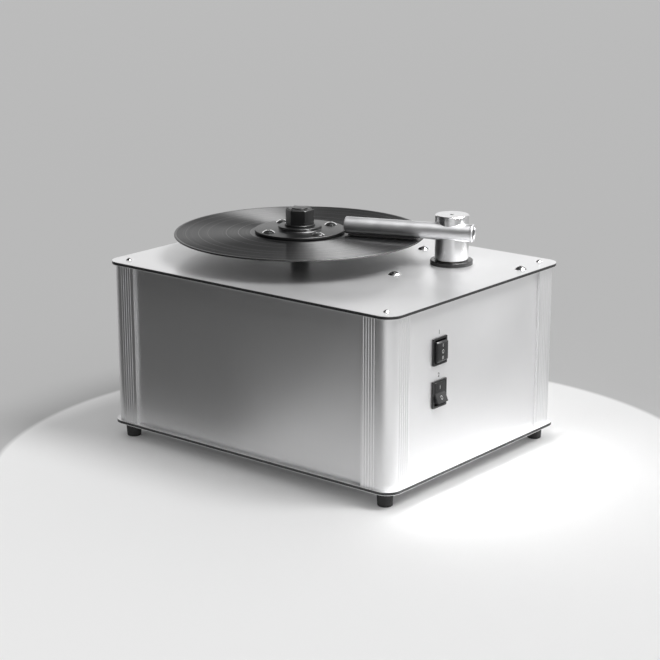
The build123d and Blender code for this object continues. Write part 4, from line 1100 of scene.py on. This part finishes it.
@dataclass
class Rockers:
    """The two rocker switches with their marks and the numerals above them."""

    x: float = -69.6
    face_y: float = -205.75
    pivot_y: float = -202.75
    motor_z: float = 160.9
    vacuum_z: float = 111.9
    half: float = 11.72
    width: float = 19.0
    tilt: float = 12.0
    bevel: float = 1.6
    back: float = -2.0
    front: float = 8.6
    valley: float = 5.4
    mark_rise: float = 7.0
    numeral_rise: float = 21.0
    numeral_size: float = 6.6

    def build(self) -> None:
        """Build and dress the switches."""
        for name in ("motor", "vacuum"):
            refined(name + "_switch_body", Body.CABINET, "switch")
        self.flat_rocker()
        self.hollow_rocker()
        self.numeral("1", self.motor_z + self.numeral_rise)
        self.numeral("2", self.vacuum_z + self.numeral_rise)

    def place(self, z: float, tilt: float) -> Matrix:
        """Where a rocker sits.

        Args:
            z: Height of its pivot.
            tilt: How far its top is pressed in, in degrees.

        Returns:
            Matrix from (side, outwards, up) about the pivot to the row frame.
        """
        turn = Matrix.Rotation(math.radians(-tilt), 4, "X")
        outwards = Matrix.Diagonal((1, -1, 1, 1))
        return Matrix.Translation((self.x, self.pivot_y, z)) @ turn @ outwards

    def shaped(
        self, outline: Sequence[Point], z: float, tilt: float, name: str, body: Body, node: str,
    ) -> None:
        """Extrude a rocker's side view and round its edges.

        Args:
            outline: (outwards, up) corners about the pivot.
            z: Height of the pivot.
            tilt: How far its top is pressed in, in degrees.
            name: The piece's name.
            body: What it moves with.
            node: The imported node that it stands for.
        """
        work = Workpiece()
        corners = [work.bm.verts.new((-self.width / 2, u, v)) for u, v in outline]
        side = work.bm.faces.new(corners)
        other = bmesh.ops.extrude_face_region(work.bm, geom=[side])["geom"]
        bmesh.ops.translate(work.bm, vec=(self.width, 0, 0), verts=verts_of(other))
        work.rounded(work.bm.edges, 0.45, 3)
        pin = [(0.0, -12.0), (1.4, -12.0), (1.4, 12.0), (0.0, 12.0)]
        made = work.turn(pin, (0, 0, 0), 24, ring=False)
        work.moved(Matrix.Rotation(math.radians(90), 4, "Y"), made)
        work.moved(self.place(z, tilt))
        work.finish(name, body, "switch", (node,), smooth=35)

    def flat_rocker(self) -> None:
        """The three-position rocker, flat in front."""
        h, bevel, front, body = self.half, self.bevel, self.front, Body.MOTOR_ROCKER
        outline = [(self.back, bevel - h), (front - bevel, -h), (front, bevel - h)]
        outline += [(front, h - bevel), (front - bevel, h), (self.back, h - bevel)]
        self.shaped(outline, self.motor_z, 0.0, "rocker_three_way", body, "motor_switch_rocker")
        base = self.place(self.motor_z, 0.0)
        for mark, side in ((Mark.ONE, 1), (Mark.OFF, 0), (Mark.TWO, -1)):
            at = base @ Matrix.Translation((0, front, side * self.mark_rise))
            self.mark(mark, at, "motor_mark_" + mark.value, body)

    def hollow_rocker(self) -> None:
        """The two-position rocker, a shallow V with its top pressed in."""
        h, valley, body = self.half, self.valley, Body.VACUUM_ROCKER
        lean = math.radians(self.tilt)
        ridge = valley + h * math.tan(lean)
        outline = [(self.back, self.bevel - h), (ridge, -h), (valley, 0.0), (ridge, h)]
        outline += [(self.back, h - self.bevel)]
        name, node = "rocker_two_way", "vacuum_switch_rocker"
        self.shaped(outline, self.vacuum_z, self.tilt, name, body, node)
        base = self.place(self.vacuum_z, self.tilt)
        for mark, side in ((Mark.ONE, 1), (Mark.OFF, -1)):
            at = base @ Matrix.Translation((0, (valley + ridge) / 2, side * h / 2))
            at = at @ Matrix.Rotation(-side * lean, 4, "X")
            self.mark(mark, at, "vacuum_mark_" + mark.value, body)

    def mark(self, kind: Mark, place: Matrix, name: str, body: Body) -> None:
        """A white sign that stands a hair proud of a rocker.

        Args:
            kind: Which sign.
            place: Matrix from (side, outwards, up) to the row frame.
            name: The piece's name.
            body: What it moves with.
        """
        work = Workpiece()
        sunk, proud = -0.05, 0.06
        if kind is Mark.OFF:
            work.turn([(1.6, sunk), (2.1, sunk), (2.1, proud), (1.6, proud)], (0, 0, 0), 40)
            oval = Matrix.Diagonal((0.78, 1.12, 1, 1))
            work.moved(Matrix.Rotation(math.radians(-90), 4, "X") @ oval)
        else:
            for bar in (-0.9, 0.9) if kind is Mark.TWO else (0.0,):
                work.block((bar - 0.26, sunk, -1.9), (bar + 0.26, proud, 1.9), 0.04, 1)
        work.moved(place)
        work.finish(name, body, "switch", smooth=50, look="mark_white")

    def numeral(self, text: str, z: float) -> None:
        """A plain printed numeral on the front panel.

        Args:
            text: The numeral.
            z: Height of its middle.
        """
        curve = bpy.data.curves.new("numeral_" + text, "FONT")
        curve.body = text
        curve.size = self.numeral_size * MM
        curve.align_x = "CENTER"
        curve.align_y = "CENTER"
        curve.extrude = 0.02 * MM
        curve.offset = 0.12 * MM
        holder = stand("numeral_holder", curve)
        bpy.context.view_layer.update()
        mesh = bpy.data.meshes.new_from_object(holder)
        bpy.data.objects.remove(holder)
        upright = Matrix.Rotation(math.radians(90), 4, "X")
        place = Vector((self.x, self.face_y - 0.02, z)) * MM
        mesh.transform(Matrix.Translation(place) @ upright)
        dress(mesh, "printed_numeral_" + text, Body.CABINET, "switch", look="mark_black")


@dataclass
class Rear:
    """The drain at the rear."""

    x: float = 115.0
    z: float = 45.0
    face_y: float = 205.75
    stem: float = 4.0
    grip: float = 7.4
    ridges: int = 18
    ridge_depth: float = 0.03

    def build(self) -> None:
        """Turn the plug's gripping head with its ridges."""
        facing = Matrix.Rotation(math.radians(-90), 4, "X")
        outline = [(0.0, -3.0), (self.stem, -3.0), (self.stem, 3.6), (7.0, 3.6), (self.grip, 4.0)]
        outline += arc((6.8, 6.4), 0.6, 0, 90, 4) + [(0.0, 7.0)]
        work = Workpiece()
        for vertex in work.turn(outline, (0, 0, 0), 72, ring=False):
            if math.hypot(vertex.co.x, vertex.co.y) > self.grip - 0.2:
                angle = math.atan2(vertex.co.y, vertex.co.x)
                squeeze = 1 - self.ridge_depth * (1 + math.cos(angle * self.ridges))
                vertex.co.x *= squeeze
                vertex.co.y *= squeeze
        work.moved(Matrix.Translation((self.x, self.face_y, self.z)) @ facing)
        slot = "black_plastic"
        work.finish("drain_plug_head", Body.DRAIN_PLUG, slot, ("drain_plug",), smooth=40)


class Carried:
    """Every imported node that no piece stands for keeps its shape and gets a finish."""

    def build(self) -> None:
        """Give each node the material of its slot."""
        slots = {row["node"]: row["material_slot"] for row in frame["record"]["subparts"]}
        for node, slot in slots.items():
            piece = frame["nodes"][node]
            piece.data.materials.clear()
            piece.data.materials.append(material_of(slot))
        LOG.info("%d packed nodes have their finish", len(slots))


# ----------------------------------------------------------------------- scene
def aimed(eye: Sequence[float], target: Sequence[float]) -> Matrix:
    """Matrix of something at one point that looks at another."""
    look = (Vector(target) - Vector(eye)).to_track_quat("-Z", "Y").to_matrix().to_4x4()
    return Matrix.Translation(eye) @ look


def sheet(name: str, size: Point, material: bpy.types.Material) -> bpy.types.Object:
    """A level rectangle about the origin.

    Args:
        name: Its name.
        size: Its width and depth in metres.
        material: Its finish.

    Returns:
        The new object.
    """
    bm = bmesh.new()
    bmesh.ops.create_grid(bm, x_segments=1, y_segments=1, size=0.5)
    bmesh.ops.scale(bm, vec=(*size, 1), verts=bm.verts)
    mesh = bpy.data.meshes.new(name)
    bm.to_mesh(mesh)
    bm.free()
    mesh.materials.append(material)
    return stand(name, mesh)


@dataclass(frozen=True)
class Softbox:
    """A large soft lamp that shows only in reflections, in metres and watts."""

    name: str
    eye: Triple
    target: Triple
    size: Point
    power: float

    def build(self) -> None:
        """Hang the lamp."""
        lamp = bpy.data.lights.new(self.name, "AREA")
        lamp.shape = "RECTANGLE"
        lamp.size, lamp.size_y = self.size
        lamp.energy = self.power
        holder = stand(self.name, lamp)
        holder.matrix_world = aimed(self.eye, self.target)
        holder.visible_camera = False
        holder.visible_diffuse = False


@dataclass(frozen=True)
class Card:
    """A dark card beside the set that shows only in reflections."""

    name: str
    middle: Triple
    facing: Triple
    size: Point

    def build(self) -> None:
        """Stand the card up."""
        s = Shading(self.name + "_black")
        s.feed("Base Color", s.blend(s.noise(s.place, 3.0), (0.03,) * 3, (0.04,) * 3))
        s.constant(Roughness=0.9)
        card = sheet(self.name, self.size, s.material)
        turn = Vector(self.facing).to_track_quat("Z", "Y").to_matrix().to_4x4()
        card.matrix_world = Matrix.Translation(self.middle) @ turn
        card.visible_camera = False
        card.visible_diffuse = False
        card.visible_shadow = False


@dataclass
class Studio:
    """Camera, floor and soft light."""

    eye: Triple = (-1.6527, -1.3379, 0.7199)
    target: Triple = (-0.0065, 0.0, 0.1356)
    focal: float = 100.24
    roll: float = -0.1
    shift: float = -0.4 / PHOTO_WIDTH
    floor_size: float = 80.0
    table_centre: Point = (-0.0647, -0.0822)
    table_radius: float = 0.42
    table_edge: float = 0.004
    table_turn: float = -50.9
    table_white: float = 0.85
    sky_white: float = 0.56
    key_strength: float = 1.55
    key_width: float = 24.0
    key_around: float = -65.0
    key_up: float = 55.0
    softboxes: tuple[Softbox, ...] = (
        Softbox("back_light", (2.0, 1.65, 0.85), (0.0, 0.0, 0.2), (3.4, 1.5), 6.8),
        Softbox("glint_light", (0.26, -0.98, 2.15), (0.0, 0.0, 0.2), (2.0, 1.2), 310.0),
        Softbox("front_light", (1.5, -1.35, 0.55), (0.0, 0.0, 0.12), (2.2, 1.1), 7.2),
    )
    cards: tuple[Card, ...] = (
        Card("dark_wall", (-1.5, 1.2, 0.85), (0.8, -0.6, 0.0), (3.4, 1.7)),
        Card("dark_side", (-2.2, -0.3, 0.85), (1.0, 0.0, 0.0), (2.6, 1.7)),
        Card("dark_ground", (-1.32, 0.62, 0.001), (0.0, 0.0, 1.0), (1.76, 2.1)),
        Card("dark_edge", (-0.335, 0.58, 0.001), (0.0, 0.0, 1.0), (0.21, 1.0)),
        Card("dark_ceiling", (0.0, 0.0, 2.3), (0.0, 0.0, -1.0), (7.0, 7.0)),
    )

    def build(self) -> None:
        """Set the studio up."""
        self.camera()
        self.floor()
        self.sky()
        self.sun()
        for thing in (*self.softboxes, *self.cards):
            thing.build()
        bpy.context.scene.view_settings.view_transform = "Standard"

    def camera(self) -> None:
        """Stand the camera where the photograph was taken."""
        lens = bpy.data.cameras.new("camera")
        lens.lens = self.focal
        lens.sensor_width = 36.0
        lens.sensor_fit = "AUTO"
        lens.clip_end = 50.0
        lens.shift_y = self.shift
        holder = stand("camera", lens)
        roll = Matrix.Rotation(math.radians(self.roll), 4, "Z")
        holder.matrix_world = aimed(self.eye, self.target) @ roll
        bpy.context.scene.camera = holder

    def table(self, s: Shading) -> Socket:
        """Where the floor is no table: 0 on the table, 1 beyond its round far edge.

        Args:
            s: The floor's material.

        Returns:
            A value from 0 to 1.
        """
        turned = s.tree.nodes.new("ShaderNodeMapping")
        turned.vector_type = "TEXTURE"
        turned.inputs["Location"].default_value = (*self.table_centre, 0.0)
        turned.inputs["Rotation"].default_value = (0.0, 0.0, math.radians(self.table_turn))
        s.link(s.place, turned.inputs["Vector"])
        split = s.tree.nodes.new("ShaderNodeSeparateXYZ")
        s.link(turned.outputs["Vector"], split.inputs["Vector"])
        across = split.outputs["X"]
        behind = s.reckon("MAXIMUM", split.outputs["Y"], 0.0)
        squares = [s.reckon("MULTIPLY", way, way) for way in (across, behind)]
        radius = s.reckon("SQRT", s.reckon("ADD", *squares), 0.0)
        low, high = self.table_radius - self.table_edge, self.table_radius + self.table_edge
        return s.spread(radius, 0.0, 1.0, low, high)

    def floor(self) -> None:
        """A pale round table top and the grey floor beyond it, in one plane."""
        s = Shading("pale_floor")
        grey = s.spread(s.radius((0, 0, 0)), 0.50, 0.52, 0.5, 6.0)
        mix = s.tree.nodes.new("ShaderNodeMix")
        mix.data_type = "RGBA"
        mix.inputs["A"].default_value = (*(self.table_white,) * 3, 1)
        s.link(self.table(s), mix.inputs["Factor"])
        s.link(s.blend(grey, (0.0,) * 3, (1.0,) * 3), mix.inputs["B"])
        s.feed("Base Color", mix.outputs["Result"])
        s.constant(Roughness=0.9, Specular_IOR_Level=0.0)
        plane = sheet("floor", (self.floor_size, self.floor_size), s.material)

    def sky(self) -> None:
        """Plain even light from everywhere."""
        world = bpy.data.worlds.new("studio")
        world.use_nodes = True
        background = world.node_tree.nodes["Background"]
        background.inputs["Color"].default_value = (*(self.sky_white,) * 3, 1)
        background.inputs["Strength"].default_value = 1.0
        bpy.context.scene.world = world

    def sun(self) -> None:
        """A broad key light from the right front, even over the whole floor."""
        lamp = bpy.data.lights.new("key_light", "SUN")
        lamp.energy = self.key_strength
        lamp.angle = math.radians(self.key_width)
        holder = stand("key_light", lamp)
        around, up = math.radians(self.key_around), math.radians(self.key_up)
        level = math.cos(up)
        towards = Vector((level * math.cos(around), level * math.sin(around), math.sin(up)))
        holder.matrix_world = towards.to_track_quat("Z", "Y").to_matrix().to_4x4()


def main() -> None:
    """Build the scene."""
    logging.basicConfig(level=logging.INFO, format="%(name)s: %(message)s")
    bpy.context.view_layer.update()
    for part in (Studio(), Carried(), Cabinet(), Turntable(), SuctionArm(), Rockers(), Rear()):
        part.build()


if __name__ == "__main__":
    main()
